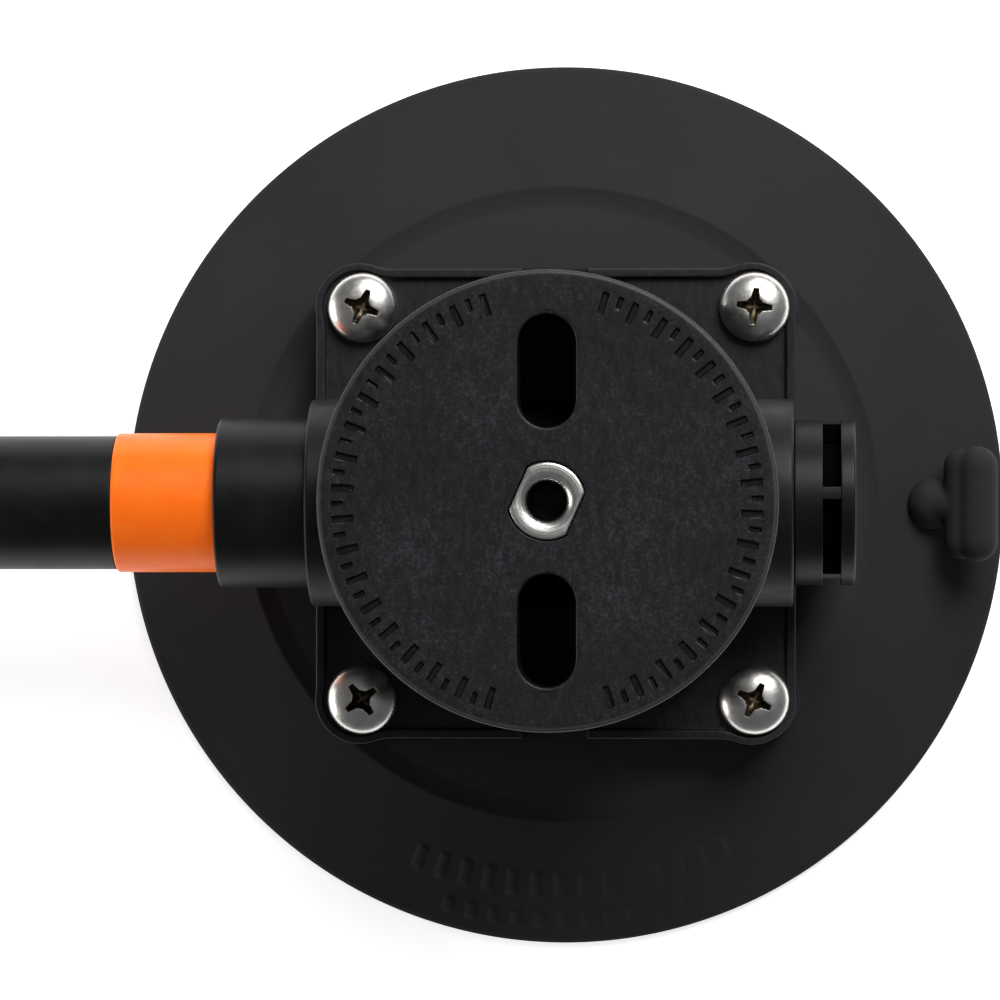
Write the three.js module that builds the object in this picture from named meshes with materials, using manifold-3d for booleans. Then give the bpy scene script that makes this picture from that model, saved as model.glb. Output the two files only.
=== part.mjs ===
// A hand-pumped vacuum suction cup: a rubber pad under a square pump housing, with a spring-returned
// plunger pump lying across it and a round mounting plate with a threaded insert on top.
// Millimetres, +Z up. The origin is the middle of the plane that the pad's sealing lip lies in.
// The pump's axis runs along X: the plunger comes out towards -X, and the exhaust leaves at +X.
import * as THREE from "three";
import { mergeVertices } from "three/addons/utils/BufferGeometryUtils.js";
import Module from "manifold-3d";

const wasm = await Module();
wasm.setup();

// ---- Driving dimensions ----

const FIT = 0.1; // gap between stacked pieces
const RUN = 0.15; // radial running clearance
const LOOSE = 0.3; // gap round a piece that is bonded or dropped in

// Rubber pad, as radii and heights of its section
const PAD_R = 76.2;
const RIM_H = 1.6;
const RIM_SHOULDER = 0.6;
const LIP_INNER_R = 71.5;
const LIP_BEVEL = 1.3;
const ROOF_R = 54;
const ROOF_Z = 5;
const STOP_R = 10.5;
const STOP_FOOT_R = 12.5;
const STOP_Z = 0.6;
const SHOULDER_R = 57;
const SHOULDER_Z = 10.3;
const CREST_R = 55.2;
const CREST_Z = 11.4;
const HUB_R = 53.2;
const HUB_Z = 12;
const PORT_MOUTH_R = 5;
const PORT_THROAT_R = 4;

// Backing plate moulded into the pad
const BACKING_R = 51.5;
const BACKING_BOTTOM = 6.4;
const BACKING_TOP = 10.4;
const BACKING_PORT_R = 2.5;
const FILTER_R = 6;
const FILTER_T = 1.8;
const FILTER_SEAT_DEPTH = 2;

// Four screws at the corners of a square
const SCREW_XY = 33.35;
const SCREW_R = 2.9;
const SCREW_HOLE_R = 3.3;
const SCREW_HEAD_R = 6;
const SCREW_HEAD_H = 4;
const SCREW_TIP_Z = 6.6;
const SCREW_TIP_CHAMFER = 0.6;
const SCREW_SEAT_GAP = 0.05;
const HEAD_RIM_SHARE = 0.3; // how much of the head's height is upright
const HEAD_ROUND_STEPS = 3;
const RECESS_SPAN = 6.8;
const RECESS_WIDTH = 1.5;
const RECESS_DEPTH = 2.3;
const SCREW_TURNS_DEG = [68, 84, 36, 64]; // how far each recess is turned

// Valve plate under the housing
const VALVE_PLATE_BOTTOM = HUB_Z + FIT;
const VALVE_PLATE_TOP = 15;
const LOBE_R = 7.6; // round each screw
const PLATE_HALF_X = 40.4;
const PLATE_HALF_Y = 39.5;
const STEM_HOLE_R = 1.35;
const INLET_VENTS = { count: 4, pitchR: 2.9, radius: 0.9 };

// Housing
const HOUSING_BOTTOM = VALVE_PLATE_TOP + FIT;
const HOUSING_HALF_X = 40.8;
const HOUSING_HALF_Y = 40;
const FLOOR_Z = 22;
const RIM_TOP_Z = 23.2;
const RIM_W = 1.6;
const SCREW_POCKET_R = SCREW_HEAD_R + 0.4;
const NOTCH_HALF = 5.5;
const COLLAR_R = 17.4;
const COLLAR_HALF = 40.9;
const HOUSING_TOP = 56.4;
const RIB_T = 3;
const RIB_XS = [9.5, 25];
const RIB_FEET = [36.6, 27.5];
const RIB_HEADS = [33.6, 25.5];
const SPINE_HALF_Y = 8;
const SPINE_HALF_X = 33;
const VALVE_POCKET_R = 6.2;
const VALVE_POCKET_TOP = 17.8;
const PASSAGE_R = 2;
const GALLERY_HALF_W = 1.6;
const GALLERY_DEPTH = 1;
const BARREL_GROOVE_HALF_W = 1;
const BARREL_GROOVE_DEPTH = 1.6;
const PORT_GROOVE = [7.3, 9.5];
const PORT_GROOVE_TOP = 16.8;

// Mounting plate
const MOUNT_BOTTOM = 56.5;
const MOUNT_TOP = 65;
const MOUNT_R = 37.6;
const MOUNT_EDGE = 1.6;
const MOUNT_EDGE_STEPS = 3;
const MOUNT_CHAMFER = 0.8;
const SLOT_HALF_W = 4.7;
const SLOT_NEAR = 11.9;
const SLOT_FAR = 30.3;

// Threaded insert with two flats
const INSERT_R = 6.4;
const INSERT_FLAT = 5.15;
const INSERT_BORE_R = 3.1;
const INSERT_MOUTH_R = 4.35;
const INSERT_FLANGE_R = 8.4;
const INSERT_FLANGE_BOTTOM = 52.6;
const INSERT_BOSS_WALL = 2.6;
const INSERT_TURN_DEG = 66;

// Pump, along X at this height
const AXIS_Z = 34;
const BARREL_R = 14.3;
const BORE_R = 12.9;
const BARREL_MOUTH = -56.4;
const BARREL_END = 37.2;
const WALL_NEAR = 27.5;
const WALL_FAR = 30.5;
const BARREL_CHAMFER = 0.6;
const BARREL_PORT_R = 1.8;
const BARREL_STEP = 0.2; // clearance past the barrel's end
const PORT_X = 24.5;
const EXHAUST_VENTS = { count: 6, pitchR: 3.4, radius: 1 };

// Two mushroom valves
const VALVE_TRAVEL = 1;
const VALVE_SEAT_GAP = 0.05;
const STEM_R = 1.15;
const BARB_R = 1.9;
const BARB_L = 1.4;
const INLET_DISC_R = 4.6;
const EXHAUST_DISC_R = 5.4;
const CROWN_R = 1.7;
const DISC_EDGE_T = 0.5;
const DISC_T = 1.2;

// O-rings
const ORING_R = 0.64;
const ORING_SIDES = 6;
const BARREL_SEAL_R = 15.1;
const BARREL_SEAL_XS = [18.5, 30.5];
const PORT_SEAL_R = 8.4;

// Plunger and its indicator band
const PLUNGER_R = 11.25;
const PLUNGER_END = -104;
const PLUNGER_FRONT = -18;
const PLUNGER_BORE_R = 8.3;
const PLUNGER_FLOOR = -98;
const PLUNGER_ROUND = 2.5;
const BAND_R = 11.7;
const BAND_CHAMFER = 0.8;
const BAND_SEAT_R = 10.3;
const BAND_OUTER = -73.8;
const BAND_INNER = -50;
const HEAD_R = 12.7;
const SEAL_SEAT_R = 10.2;
const SEAL_X = [-24.5, -20.5];
const SEAL_LIP_HALF = 0.7;
const SEAL_GROOVE_DEPTH = 2;
const PISTON_LAND = 2.5;
const GUIDE_LAND = 4;

// Guide bush and its retaining ring
const BUSH = [-54, -46.2];
const BUSH_BORE_R = BAND_R + 0.2;
const RING_GROOVE = [-55.4, -54.2];
const RING_GROOVE_R = 13.5;
const RING_GAP_HALF = 3.5;

// Return spring
const WIRE_R = 0.7;
const COIL_R = 6.95;
const WIRE_SIDES = 5;
const COIL_STEPS = 10;
const COILS = 13;

// Vent cap
const CAP_R = 13.8;
const CAP_BORE_R = 10.6;
const CAP_SPIGOT = 32.2;
const CAP_WINDOW = [44.8, 47.8];
const CAP_END = 50.3;
const CAP_ROUND = 0.5;
const CAP_DISH_R = 9.5;
const CAP_DISH_DEPTH = 0.8;
const CAP_RIBS = 5;
const CAP_RIB_W = 2;
const CAP_RIB_TURN_DEG = 6.3;

// Release tab
const TAB_X = 63.5;
const TAB_ROOT_R = 4.6;
const TAB_ROOT_Z = 8.6;
const TAB_BAR_X = 71.4;
const TAB_BAR_Z = 13.2;
const TAB_BAR_R = 3.6;
const TAB_BAR_HALF = 6.4;
const TAB_NECK_R = 2.5;
const TAB_GAP = 0.3;

// How finely round shapes are faceted
const FINE = 60;
const ROUND = 30;
const MEDIUM = 20;
const SMALL = 12;
const CAP_STEPS = 3;
const OVER = 1; // how far a cutter runs past the face that it cuts

// ---- Solids ----

function toSolid(geometry) {
  const flat = geometry.index ? geometry.toNonIndexed() : geometry;
  const bare = new THREE.BufferGeometry().setAttribute("position", flat.getAttribute("position"));
  const merged = mergeVertices(bare, 1e-3);
  return new wasm.Manifold(
    new wasm.Mesh({
      numProp: 3,
      vertProperties: merged.attributes.position.array,
      triVerts: new Uint32Array(merged.index.array),
    }),
  );
}

function toGeometry(solid) {
  const mesh = solid.getMesh();
  return new THREE.BufferGeometry()
    .setAttribute("position", new THREE.BufferAttribute(new Float32Array(mesh.vertProperties), 3))
    .setIndex(new THREE.BufferAttribute(new Uint32Array(mesh.triVerts), 1));
}

// Turns a profile of [radius, height] pairs about Z. It runs up the outside and down the inside.
function turnedZ(profile, segments = ROUND) {
  const points = profile.map(([r, z]) => new THREE.Vector2(r, z));
  return toSolid(new THREE.LatheGeometry(points, segments).rotateX(Math.PI / 2));
}

// Turns a profile of [x, radius] pairs about the pump's axis. It runs towards +X on the outside.
function turnedX(profile, segments = ROUND) {
  const points = profile.map(([x, r]) => new THREE.Vector2(r, x));
  const lathe = new THREE.LatheGeometry(points, segments).rotateZ(-Math.PI / 2);
  return toSolid(lathe.translate(0, 0, AXIS_Z));
}

const closed = (profile) => [...profile, profile[0]];

function rodZ(radius, bottom, top, x = 0, y = 0, segments = SMALL) {
  const geometry = new THREE.CylinderGeometry(radius, radius, top - bottom, segments);
  return toSolid(geometry.rotateX(Math.PI / 2).translate(x, y, (bottom + top) / 2));
}

const rodX = (radius, from, to, segments = ROUND) =>
  turnedX([[from, 0], [from, radius], [to, radius], [to, 0]], segments);

const tubeX = (inner, outer, from, to, segments = ROUND) =>
  turnedX(closed([[from, inner], [from, outer], [to, outer], [to, inner]]), segments);

function box(x0, x1, y0, y1, z0, z1) {
  const geometry = new THREE.BoxGeometry(x1 - x0, y1 - y0, z1 - z0);
  return toSolid(geometry.translate((x0 + x1) / 2, (y0 + y1) / 2, (z0 + z1) / 2));
}

function extrudedZ(shape, bottom, top, curveSegments = 10) {
  const depth = top - bottom;
  const geometry = new THREE.ExtrudeGeometry(shape, { depth, bevelEnabled: false, curveSegments });
  return toSolid(geometry.translate(0, 0, bottom));
}

// An outline of four straight sides with a round lobe about each screw.
function lobedSquare(halfX, halfY, lobeR) {
  const reaches = [halfX, halfY].map((half) => Math.acos((half - SCREW_XY) / lobeR));
  const shape = new THREE.Shape();
  for (let corner = 0; corner < 4; corner++) {
    const turn = (corner * Math.PI) / 2;
    const x = SCREW_XY * (Math.cos(turn) - Math.sin(turn));
    const y = SCREW_XY * (Math.sin(turn) + Math.cos(turn));
    const before = reaches[corner % 2];
    const after = reaches[(corner + 1) % 2];
    shape.absarc(x, y, lobeR, turn - before, turn + Math.PI / 2 + after);
  }
  return shape;
}

function slotShape(halfWidth, from, to) {
  return new THREE.Shape()
    .absarc(0, to - halfWidth, halfWidth, 0, Math.PI)
    .absarc(0, from + halfWidth, halfWidth, Math.PI, 2 * Math.PI);
}

function ball(radius, x, y, z, segments = SMALL) {
  const geometry = new THREE.SphereGeometry(radius, segments, segments / 2);
  return toSolid(geometry.translate(x, y, z));
}

// A rod with round ends between two points.
function capsule(radius, from, to) {
  const along = new THREE.Vector3().subVectors(to, from);
  const middle = new THREE.Vector3().addVectors(from, to).multiplyScalar(0.5);
  const geometry = new THREE.CapsuleGeometry(radius, along.length(), CAP_STEPS, SMALL);
  geometry.applyQuaternion(
    new THREE.Quaternion().setFromUnitVectors(new THREE.Vector3(0, 1, 0), along.normalize()),
  );
  return toSolid(geometry.translate(middle.x, middle.y, middle.z));
}

const SCREWS = [
  [-SCREW_XY, SCREW_XY],
  [SCREW_XY, SCREW_XY],
  [-SCREW_XY, -SCREW_XY],
  [SCREW_XY, -SCREW_XY],
];

const drill = (solid, radius, bottom, top) =>
  SCREWS.reduce((left, [x, y]) => left.subtract(rodZ(radius, bottom, top, x, y)), solid);

// ---- Pad ----

// The pad's upper surface from its rim to its hub, raised by a gap.
const padTop = (gap = 0) => [
  [PAD_R + gap, RIM_H + gap],
  [PAD_R - RIM_SHOULDER, RIM_H + RIM_SHOULDER + gap],
  [SHOULDER_R, SHOULDER_Z + gap],
  [CREST_R, CREST_Z + gap],
  [HUB_R, HUB_Z + gap],
  [0, HUB_Z + gap],
];

function vacuumPad() {
  const body = turnedZ(
    [
      [0, STOP_Z],
      [STOP_R, STOP_Z],
      [STOP_FOOT_R, ROOF_Z],
      [ROOF_R, ROOF_Z],
      [LIP_INNER_R - LIP_BEVEL, LIP_BEVEL],
      [LIP_INNER_R, 0],
      [PAD_R, 0],
      ...padTop(),
    ],
    FINE,
  );
  const pocket = rodZ(BACKING_R + LOOSE, BACKING_BOTTOM - FIT, BACKING_TOP + FIT, 0, 0, FINE);
  const port = rodZ(PORT_MOUTH_R, ROOF_Z - OVER, BACKING_BOTTOM, PORT_X).add(
    rodZ(PORT_THROAT_R, BACKING_TOP, HUB_Z + OVER, PORT_X),
  );
  return drill(body.subtract(pocket).subtract(port), SCREW_HOLE_R, BACKING_TOP, HUB_Z + OVER);
}

function releaseTab() {
  const barEnds = [-1, 1].map((s) => new THREE.Vector3(TAB_BAR_X, s * TAB_BAR_HALF, TAB_BAR_Z));
  const neck = capsule(
    TAB_NECK_R,
    new THREE.Vector3(TAB_X, 0, TAB_ROOT_Z + TAB_ROOT_R / 2),
    new THREE.Vector3(TAB_BAR_X, 0, TAB_BAR_Z),
  );
  const padSpace = turnedZ([[0, 0], [PAD_R + TAB_GAP, 0], ...padTop(TAB_GAP)], FINE);
  return ball(TAB_ROOT_R, TAB_X, 0, TAB_ROOT_Z)
    .add(neck)
    .add(capsule(TAB_BAR_R, ...barEnds))
    .subtract(padSpace);
}

function backingPlate() {
  const disc = rodZ(BACKING_R, BACKING_BOTTOM, BACKING_TOP, 0, 0, FINE);
  const seatTop = BACKING_BOTTOM + FILTER_SEAT_DEPTH;
  const filterSeat = rodZ(FILTER_R + LOOSE, BACKING_BOTTOM - OVER, seatTop, PORT_X, 0, MEDIUM);
  const port = rodZ(BACKING_PORT_R, BACKING_BOTTOM, BACKING_TOP + OVER, PORT_X);
  const cut = disc.subtract(filterSeat).subtract(port);
  return drill(cut, SCREW_HOLE_R, BACKING_BOTTOM - OVER, BACKING_TOP + OVER);
}

const portFilter = () =>
  rodZ(FILTER_R, BACKING_BOTTOM, BACKING_BOTTOM + FILTER_T, PORT_X, 0, MEDIUM);

// ---- Valves and seals ----

// Cuts a circle of vents, where hole(across, up, radius) makes the cutter of one.
function ventHoles(solid, { count, pitchR, radius }, hole) {
  let left = solid;
  for (let i = 0; i < count; i++) {
    const turn = (2 * Math.PI * i) / count;
    left = left.subtract(hole(pitchR * Math.cos(turn), pitchR * Math.sin(turn), radius));
  }
  return left;
}

function valvePlate() {
  const outline = lobedSquare(PLATE_HALF_X, PLATE_HALF_Y, LOBE_R);
  const bottom = VALVE_PLATE_BOTTOM - OVER;
  const top = VALVE_PLATE_TOP + OVER;
  const through = (x, y, radius) => rodZ(radius, bottom, top, PORT_X + x, y);
  const slab = extrudedZ(outline, VALVE_PLATE_BOTTOM, VALVE_PLATE_TOP);
  const plate = ventHoles(slab.subtract(through(0, 0, STEM_HOLE_R)), INLET_VENTS, through);
  return drill(plate, SCREW_HOLE_R, bottom, top);
}

// Section of a mushroom valve as [radius, height]: a disc on its seat, a stem and a barb below.
const mushroom = (seat, barbTop, discR) => [
  [0, barbTop - BARB_L],
  [BARB_R / 2, barbTop - BARB_L],
  [BARB_R, barbTop],
  [STEM_R, barbTop],
  [STEM_R, seat],
  [discR, seat],
  [discR, seat + DISC_EDGE_T],
  [CROWN_R, seat + DISC_T],
  [0, seat + DISC_T],
];

function inletValve() {
  const barbTop = VALVE_PLATE_BOTTOM - VALVE_TRAVEL - RUN;
  const profile = mushroom(VALVE_PLATE_TOP + VALVE_SEAT_GAP, barbTop, INLET_DISC_R);
  return turnedZ(profile, MEDIUM).translate([PORT_X, 0, 0]);
}

function exhaustValve() {
  const barbTop = WALL_NEAR - VALVE_TRAVEL - RUN;
  const profile = mushroom(WALL_FAR + VALVE_SEAT_GAP, barbTop, EXHAUST_DISC_R);
  return turnedX(profile.map(([r, x]) => [x, r]), MEDIUM);
}

function ring(centreRadius, sectionRadius) {
  return new THREE.TorusGeometry(centreRadius, sectionRadius, ORING_SIDES, ROUND);
}

const portSeal = () =>
  toSolid(ring(PORT_SEAL_R, ORING_R).translate(PORT_X, 0, HOUSING_BOTTOM + ORING_R + FIT));

const barrelSeal = (x) =>
  toSolid(ring(BARREL_SEAL_R, ORING_R).rotateY(Math.PI / 2).translate(x, 0, AXIS_Z));

// ---- Housing ----

function rib(x, foot, head) {
  const outline = new THREE.Shape([
    new THREE.Vector2(-foot, FLOOR_Z - OVER),
    new THREE.Vector2(foot, FLOOR_Z - OVER),
    new THREE.Vector2(head, HOUSING_TOP),
    new THREE.Vector2(-head, HOUSING_TOP),
  ]);
  const geometry = new THREE.ExtrudeGeometry(outline, { depth: RIB_T, bevelEnabled: false });
  // Turned so that the outline stands across the pump: its x runs along Y and its y along Z.
  geometry.rotateX(Math.PI / 2).rotateZ(Math.PI / 2);
  return toSolid(geometry.translate(x - RIB_T / 2, 0, 0));
}

// The flange: a tray with a raised rim, which is open in the middle of two sides.
function housingFlange() {
  const outside = lobedSquare(HOUSING_HALF_X, HOUSING_HALF_Y, LOBE_R);
  const inside = lobedSquare(HOUSING_HALF_X - RIM_W, HOUSING_HALF_Y - RIM_W, SCREW_POCKET_R);
  const reach = HOUSING_HALF_Y + OVER;
  return extrudedZ(outside, HOUSING_BOTTOM, RIM_TOP_Z)
    .subtract(extrudedZ(inside, FLOOR_Z, RIM_TOP_Z + OVER))
    .subtract(box(-NOTCH_HALF, NOTCH_HALF, -reach, reach, FLOOR_Z, RIM_TOP_Z + OVER));
}

// What is bored out of the housing for the barrel, the cap, the valve and the seals.
function housingBores() {
  const insertPocket = rodZ(
    INSERT_FLANGE_R + LOOSE, INSERT_FLANGE_BOTTOM - FIT, HOUSING_TOP + OVER, 0, 0, ROUND,
  );
  const portGroove = turnedZ(
    closed([
      [PORT_GROOVE[0], HOUSING_BOTTOM - OVER],
      [PORT_GROOVE[1], HOUSING_BOTTOM - OVER],
      [PORT_GROOVE[1], PORT_GROOVE_TOP],
      [PORT_GROOVE[0], PORT_GROOVE_TOP],
    ]),
  );
  const barrelGrooves = BARREL_SEAL_XS.map((x) =>
    rodX(BARREL_R + BARREL_GROOVE_DEPTH, x - BARREL_GROOVE_HALF_W, x + BARREL_GROOVE_HALF_W),
  );
  return [
    insertPocket,
    rodX(BARREL_R + RUN, -COLLAR_HALF - OVER, BARREL_END + BARREL_STEP),
    rodX(BORE_R + FIT, BARREL_END, COLLAR_HALF + OVER),
    rodX(BARREL_R + GALLERY_DEPTH, PORT_X - GALLERY_HALF_W, PORT_X + GALLERY_HALF_W),
    rodZ(VALVE_POCKET_R, HOUSING_BOTTOM - OVER, VALVE_POCKET_TOP, PORT_X, 0, MEDIUM),
    rodZ(PASSAGE_R, VALVE_POCKET_TOP - OVER, AXIS_Z - BORE_R, PORT_X),
    portGroove.translate([PORT_X, 0, 0]),
    ...barrelGrooves,
  ];
}

function pumpHousing() {
  let body = housingFlange()
    .add(box(-COLLAR_HALF, COLLAR_HALF, -COLLAR_R, COLLAR_R, HOUSING_BOTTOM, AXIS_Z))
    .add(rodX(COLLAR_R, -COLLAR_HALF, COLLAR_HALF))
    .add(box(-SPINE_HALF_X, SPINE_HALF_X, -SPINE_HALF_Y, SPINE_HALF_Y, AXIS_Z, HOUSING_TOP))
    .add(rodZ(INSERT_FLANGE_R + INSERT_BOSS_WALL, AXIS_Z + BARREL_R, HOUSING_TOP, 0, 0, ROUND));
  RIB_XS.forEach((x, i) => {
    body = body.add(rib(x, RIB_FEET[i], RIB_HEADS[i])).add(rib(-x, RIB_FEET[i], RIB_HEADS[i]));
  });
  for (const bore of housingBores()) body = body.subtract(bore);
  return drill(body, SCREW_HOLE_R, HOUSING_BOTTOM - OVER, FLOOR_Z + OVER);
}

function mountPlate() {
  const edge = [];
  for (let i = 0; i <= MOUNT_EDGE_STEPS; i++) {
    const turn = (Math.PI / 2) * (i / MOUNT_EDGE_STEPS);
    edge.push([
      MOUNT_R - MOUNT_EDGE + MOUNT_EDGE * Math.cos(turn),
      MOUNT_TOP - MOUNT_EDGE + MOUNT_EDGE * Math.sin(turn),
    ]);
  }
  const profile = [
    [0, MOUNT_BOTTOM],
    [MOUNT_R - MOUNT_CHAMFER, MOUNT_BOTTOM],
    [MOUNT_R, MOUNT_BOTTOM + MOUNT_CHAMFER],
    ...edge,
    [0, MOUNT_TOP],
  ];
  const bottom = MOUNT_BOTTOM - OVER;
  const top = MOUNT_TOP + OVER;
  const slot = extrudedZ(slotShape(SLOT_HALF_W, SLOT_NEAR, SLOT_FAR), bottom, top);
  return turnedZ(profile, FINE)
    .subtract(slot)
    .subtract(slot.rotate([0, 0, 180]))
    .subtract(twoFlats(RUN, bottom, top));
}

// The insert's body: a round with two flats, grown by a gap.
function twoFlats(gap, bottom, top) {
  const flat = INSERT_FLAT + gap;
  const limits = box(-INSERT_R * 2, INSERT_R * 2, -flat, flat, bottom, top);
  return rodZ(INSERT_R + gap, bottom, top, 0, 0, ROUND)
    .intersect(limits)
    .rotate([0, 0, INSERT_TURN_DEG]);
}

function threadedInsert() {
  const mouthDepth = INSERT_MOUTH_R - INSERT_BORE_R;
  const bore = turnedZ(
    [
      [0, INSERT_FLANGE_BOTTOM - OVER],
      [INSERT_BORE_R, INSERT_FLANGE_BOTTOM - OVER],
      [INSERT_BORE_R, MOUNT_TOP - mouthDepth],
      [INSERT_MOUTH_R, MOUNT_TOP],
      [INSERT_MOUTH_R, MOUNT_TOP + OVER],
      [0, MOUNT_TOP + OVER],
    ],
    MEDIUM,
  );
  return twoFlats(0, INSERT_FLANGE_BOTTOM, MOUNT_TOP)
    .add(rodZ(INSERT_FLANGE_R, INSERT_FLANGE_BOTTOM, HOUSING_TOP, 0, 0, ROUND))
    .subtract(bore);
}

// A pan-head screw: a shank, a head with an upright rim and a rounded top, and a cross recess.
function housingScrew(index) {
  const under = FLOOR_Z + SCREW_SEAT_GAP;
  const top = under + SCREW_HEAD_H;
  const rimTop = under + SCREW_HEAD_H * HEAD_RIM_SHARE;
  const profile = [
    [0, SCREW_TIP_Z],
    [SCREW_R - SCREW_TIP_CHAMFER, SCREW_TIP_Z],
    [SCREW_R, SCREW_TIP_Z + SCREW_TIP_CHAMFER],
    [SCREW_R, under],
    [SCREW_HEAD_R, under],
  ];
  for (let i = 0; i <= HEAD_ROUND_STEPS; i++) {
    const turn = ((Math.PI / 2) * i) / (HEAD_ROUND_STEPS + 1);
    const height = rimTop + (top - rimTop) * Math.sin(turn);
    profile.push([SCREW_HEAD_R * Math.cos(turn), height]);
  }
  profile.push([0, top]);
  const half = RECESS_SPAN / 2;
  const halfW = RECESS_WIDTH / 2;
  const arm = box(-half, half, -halfW, halfW, top - RECESS_DEPTH, top + OVER);
  const recess = arm.add(arm.rotate([0, 0, 90])).rotate([0, 0, SCREW_TURNS_DEG[index]]);
  const [x, y] = SCREWS[index];
  return turnedZ(profile, MEDIUM).subtract(recess).translate([x, y, 0]);
}

// ---- Pump ----

function pumpBarrel() {
  const tube = turnedX(
    closed([
      [BARREL_MOUTH, BORE_R],
      [BARREL_MOUTH, BARREL_R - BARREL_CHAMFER],
      [BARREL_MOUTH + BARREL_CHAMFER, BARREL_R],
      [BARREL_END, BARREL_R],
      [BARREL_END, BORE_R],
    ]),
  );
  const wall = rodX(BORE_R + OVER / 2, WALL_NEAR, WALL_FAR);
  const stemHole = rodX(STEM_HOLE_R, WALL_NEAR - OVER, WALL_FAR + OVER, SMALL);
  const port = rodZ(BARREL_PORT_R, AXIS_Z - BARREL_R - OVER, AXIS_Z - BORE_R + OVER, PORT_X);
  const barrel = tube
    .add(wall)
    .subtract(rodX(RING_GROOVE_R, ...RING_GROOVE))
    .subtract(stemHole)
    .subtract(port);
  const across = (y, z, radius) =>
    rodX(radius, WALL_NEAR - OVER, WALL_FAR + OVER, SMALL).translate([0, y, z]);
  return ventHoles(barrel, EXHAUST_VENTS, across);
}

const guideBush = () => tubeX(BUSH_BORE_R, BORE_R - RUN, ...BUSH);

function retainingRing() {
  const [from, to] = RING_GROOVE;
  const bottom = AXIS_Z - RING_GROOVE_R - OVER;
  const gap = box(from - OVER, to + OVER, -RING_GAP_HALF, RING_GAP_HALF, bottom, AXIS_Z);
  return tubeX(BUSH_BORE_R + FIT, RING_GROOVE_R - RUN, from + FIT, to - FIT).subtract(gap);
}

function plunger() {
  const guide = BUSH[1] + RUN; // the land that stops against the bush
  const cut = PLUNGER_ROUND * (1 - Math.SQRT1_2);
  return turnedX([
    [PLUNGER_END, 0],
    [PLUNGER_END, PLUNGER_R - PLUNGER_ROUND],
    [PLUNGER_END + cut, PLUNGER_R - cut],
    [PLUNGER_END + PLUNGER_ROUND, PLUNGER_R],
    [BAND_OUTER - FIT, PLUNGER_R],
    [BAND_OUTER - FIT, BAND_SEAT_R],
    [BAND_INNER + FIT, BAND_SEAT_R],
    [BAND_INNER + FIT, PLUNGER_R],
    [guide, PLUNGER_R],
    [guide, HEAD_R],
    [guide + GUIDE_LAND, HEAD_R],
    [guide + GUIDE_LAND, PLUNGER_R],
    [SEAL_X[0] - PISTON_LAND, PLUNGER_R],
    [SEAL_X[0] - PISTON_LAND, HEAD_R],
    [SEAL_X[0], HEAD_R],
    [SEAL_X[0], SEAL_SEAT_R],
    [SEAL_X[1], SEAL_SEAT_R],
    [SEAL_X[1], HEAD_R],
    [PLUNGER_FRONT, HEAD_R],
    [PLUNGER_FRONT, PLUNGER_BORE_R],
    [PLUNGER_FLOOR, PLUNGER_BORE_R],
    [PLUNGER_FLOOR, 0],
  ]);
}

const indicatorBand = () =>
  turnedX(
    closed([
      [BAND_OUTER, BAND_SEAT_R + FIT],
      [BAND_OUTER, BAND_R - BAND_CHAMFER],
      [BAND_OUTER + BAND_CHAMFER, BAND_R],
      [BAND_INNER, BAND_R],
      [BAND_INNER, BAND_SEAT_R + FIT],
    ]),
  );

// A lip seal: a ring whose pressure side has a groove between its two lips.
function pistonSeal() {
  const [from, to] = SEAL_X;
  const inner = SEAL_SEAT_R + FIT;
  const outer = BORE_R - FIT;
  const middle = (inner + outer) / 2;
  return turnedX(
    closed([
      [from + FIT, inner],
      [from + FIT, outer - FIT],
      [to - FIT, outer],
      [to - FIT, middle + SEAL_LIP_HALF],
      [to - SEAL_GROOVE_DEPTH, middle],
      [to - FIT, middle - SEAL_LIP_HALF],
      [to - FIT, inner],
    ]),
  );
}

class Helix extends THREE.Curve {
  getPoint(t, target = new THREE.Vector3()) {
    const from = PLUNGER_FLOOR + WIRE_R + FIT;
    const to = WALL_NEAR - WIRE_R - FIT;
    const turn = 2 * Math.PI * COILS * t;
    return target.set(from + (to - from) * t, COIL_R * Math.sin(turn), AXIS_Z + COIL_R * Math.cos(turn));
  }
}

function plungerSpring() {
  const section = new THREE.Shape();
  for (let i = 0; i < WIRE_SIDES; i++) {
    const turn = (2 * Math.PI * i) / WIRE_SIDES;
    const move = i ? "lineTo" : "moveTo";
    section[move](WIRE_R * Math.cos(turn), WIRE_R * Math.sin(turn));
  }
  const steps = COILS * COIL_STEPS;
  return toSolid(new THREE.ExtrudeGeometry(section, { steps, extrudePath: new Helix() }));
}

function ventCap() {
  const [near, far] = CAP_WINDOW;
  const cap = turnedX([
    [CAP_SPIGOT, CAP_BORE_R],
    [CAP_SPIGOT, BORE_R - RUN],
    [COLLAR_HALF + FIT, BORE_R - RUN],
    [COLLAR_HALF + FIT, CAP_R],
    [CAP_END - CAP_ROUND, CAP_R],
    [CAP_END, CAP_R - CAP_ROUND],
    [CAP_END, CAP_DISH_R],
    [CAP_END - CAP_DISH_DEPTH, CAP_DISH_R - CAP_ROUND],
    [CAP_END - CAP_DISH_DEPTH, 0],
    [far, 0],
    [far, CAP_BORE_R],
    [CAP_SPIGOT, CAP_BORE_R],
  ]);
  const windows = tubeX(CAP_BORE_R - 1, CAP_R + OVER, near, far);
  let ribs = null;
  for (let i = 0; i < CAP_RIBS; i++) {
    const turn = CAP_RIB_TURN_DEG + (360 * i) / CAP_RIBS;
    const rib = box(near - OVER, far + OVER, -CAP_RIB_W / 2, CAP_RIB_W / 2, 0, CAP_R + 2 * OVER)
      .rotate([-turn, 0, 0])
      .translate([0, 0, AXIS_Z]);
    ribs = ribs ? ribs.add(rib) : rib;
  }
  return cap.subtract(windows.subtract(ribs));
}

// ---- Assembly ----

const material = (color, roughness, metalness = 0) =>
  new THREE.MeshStandardMaterial({ color, roughness, metalness });

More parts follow.
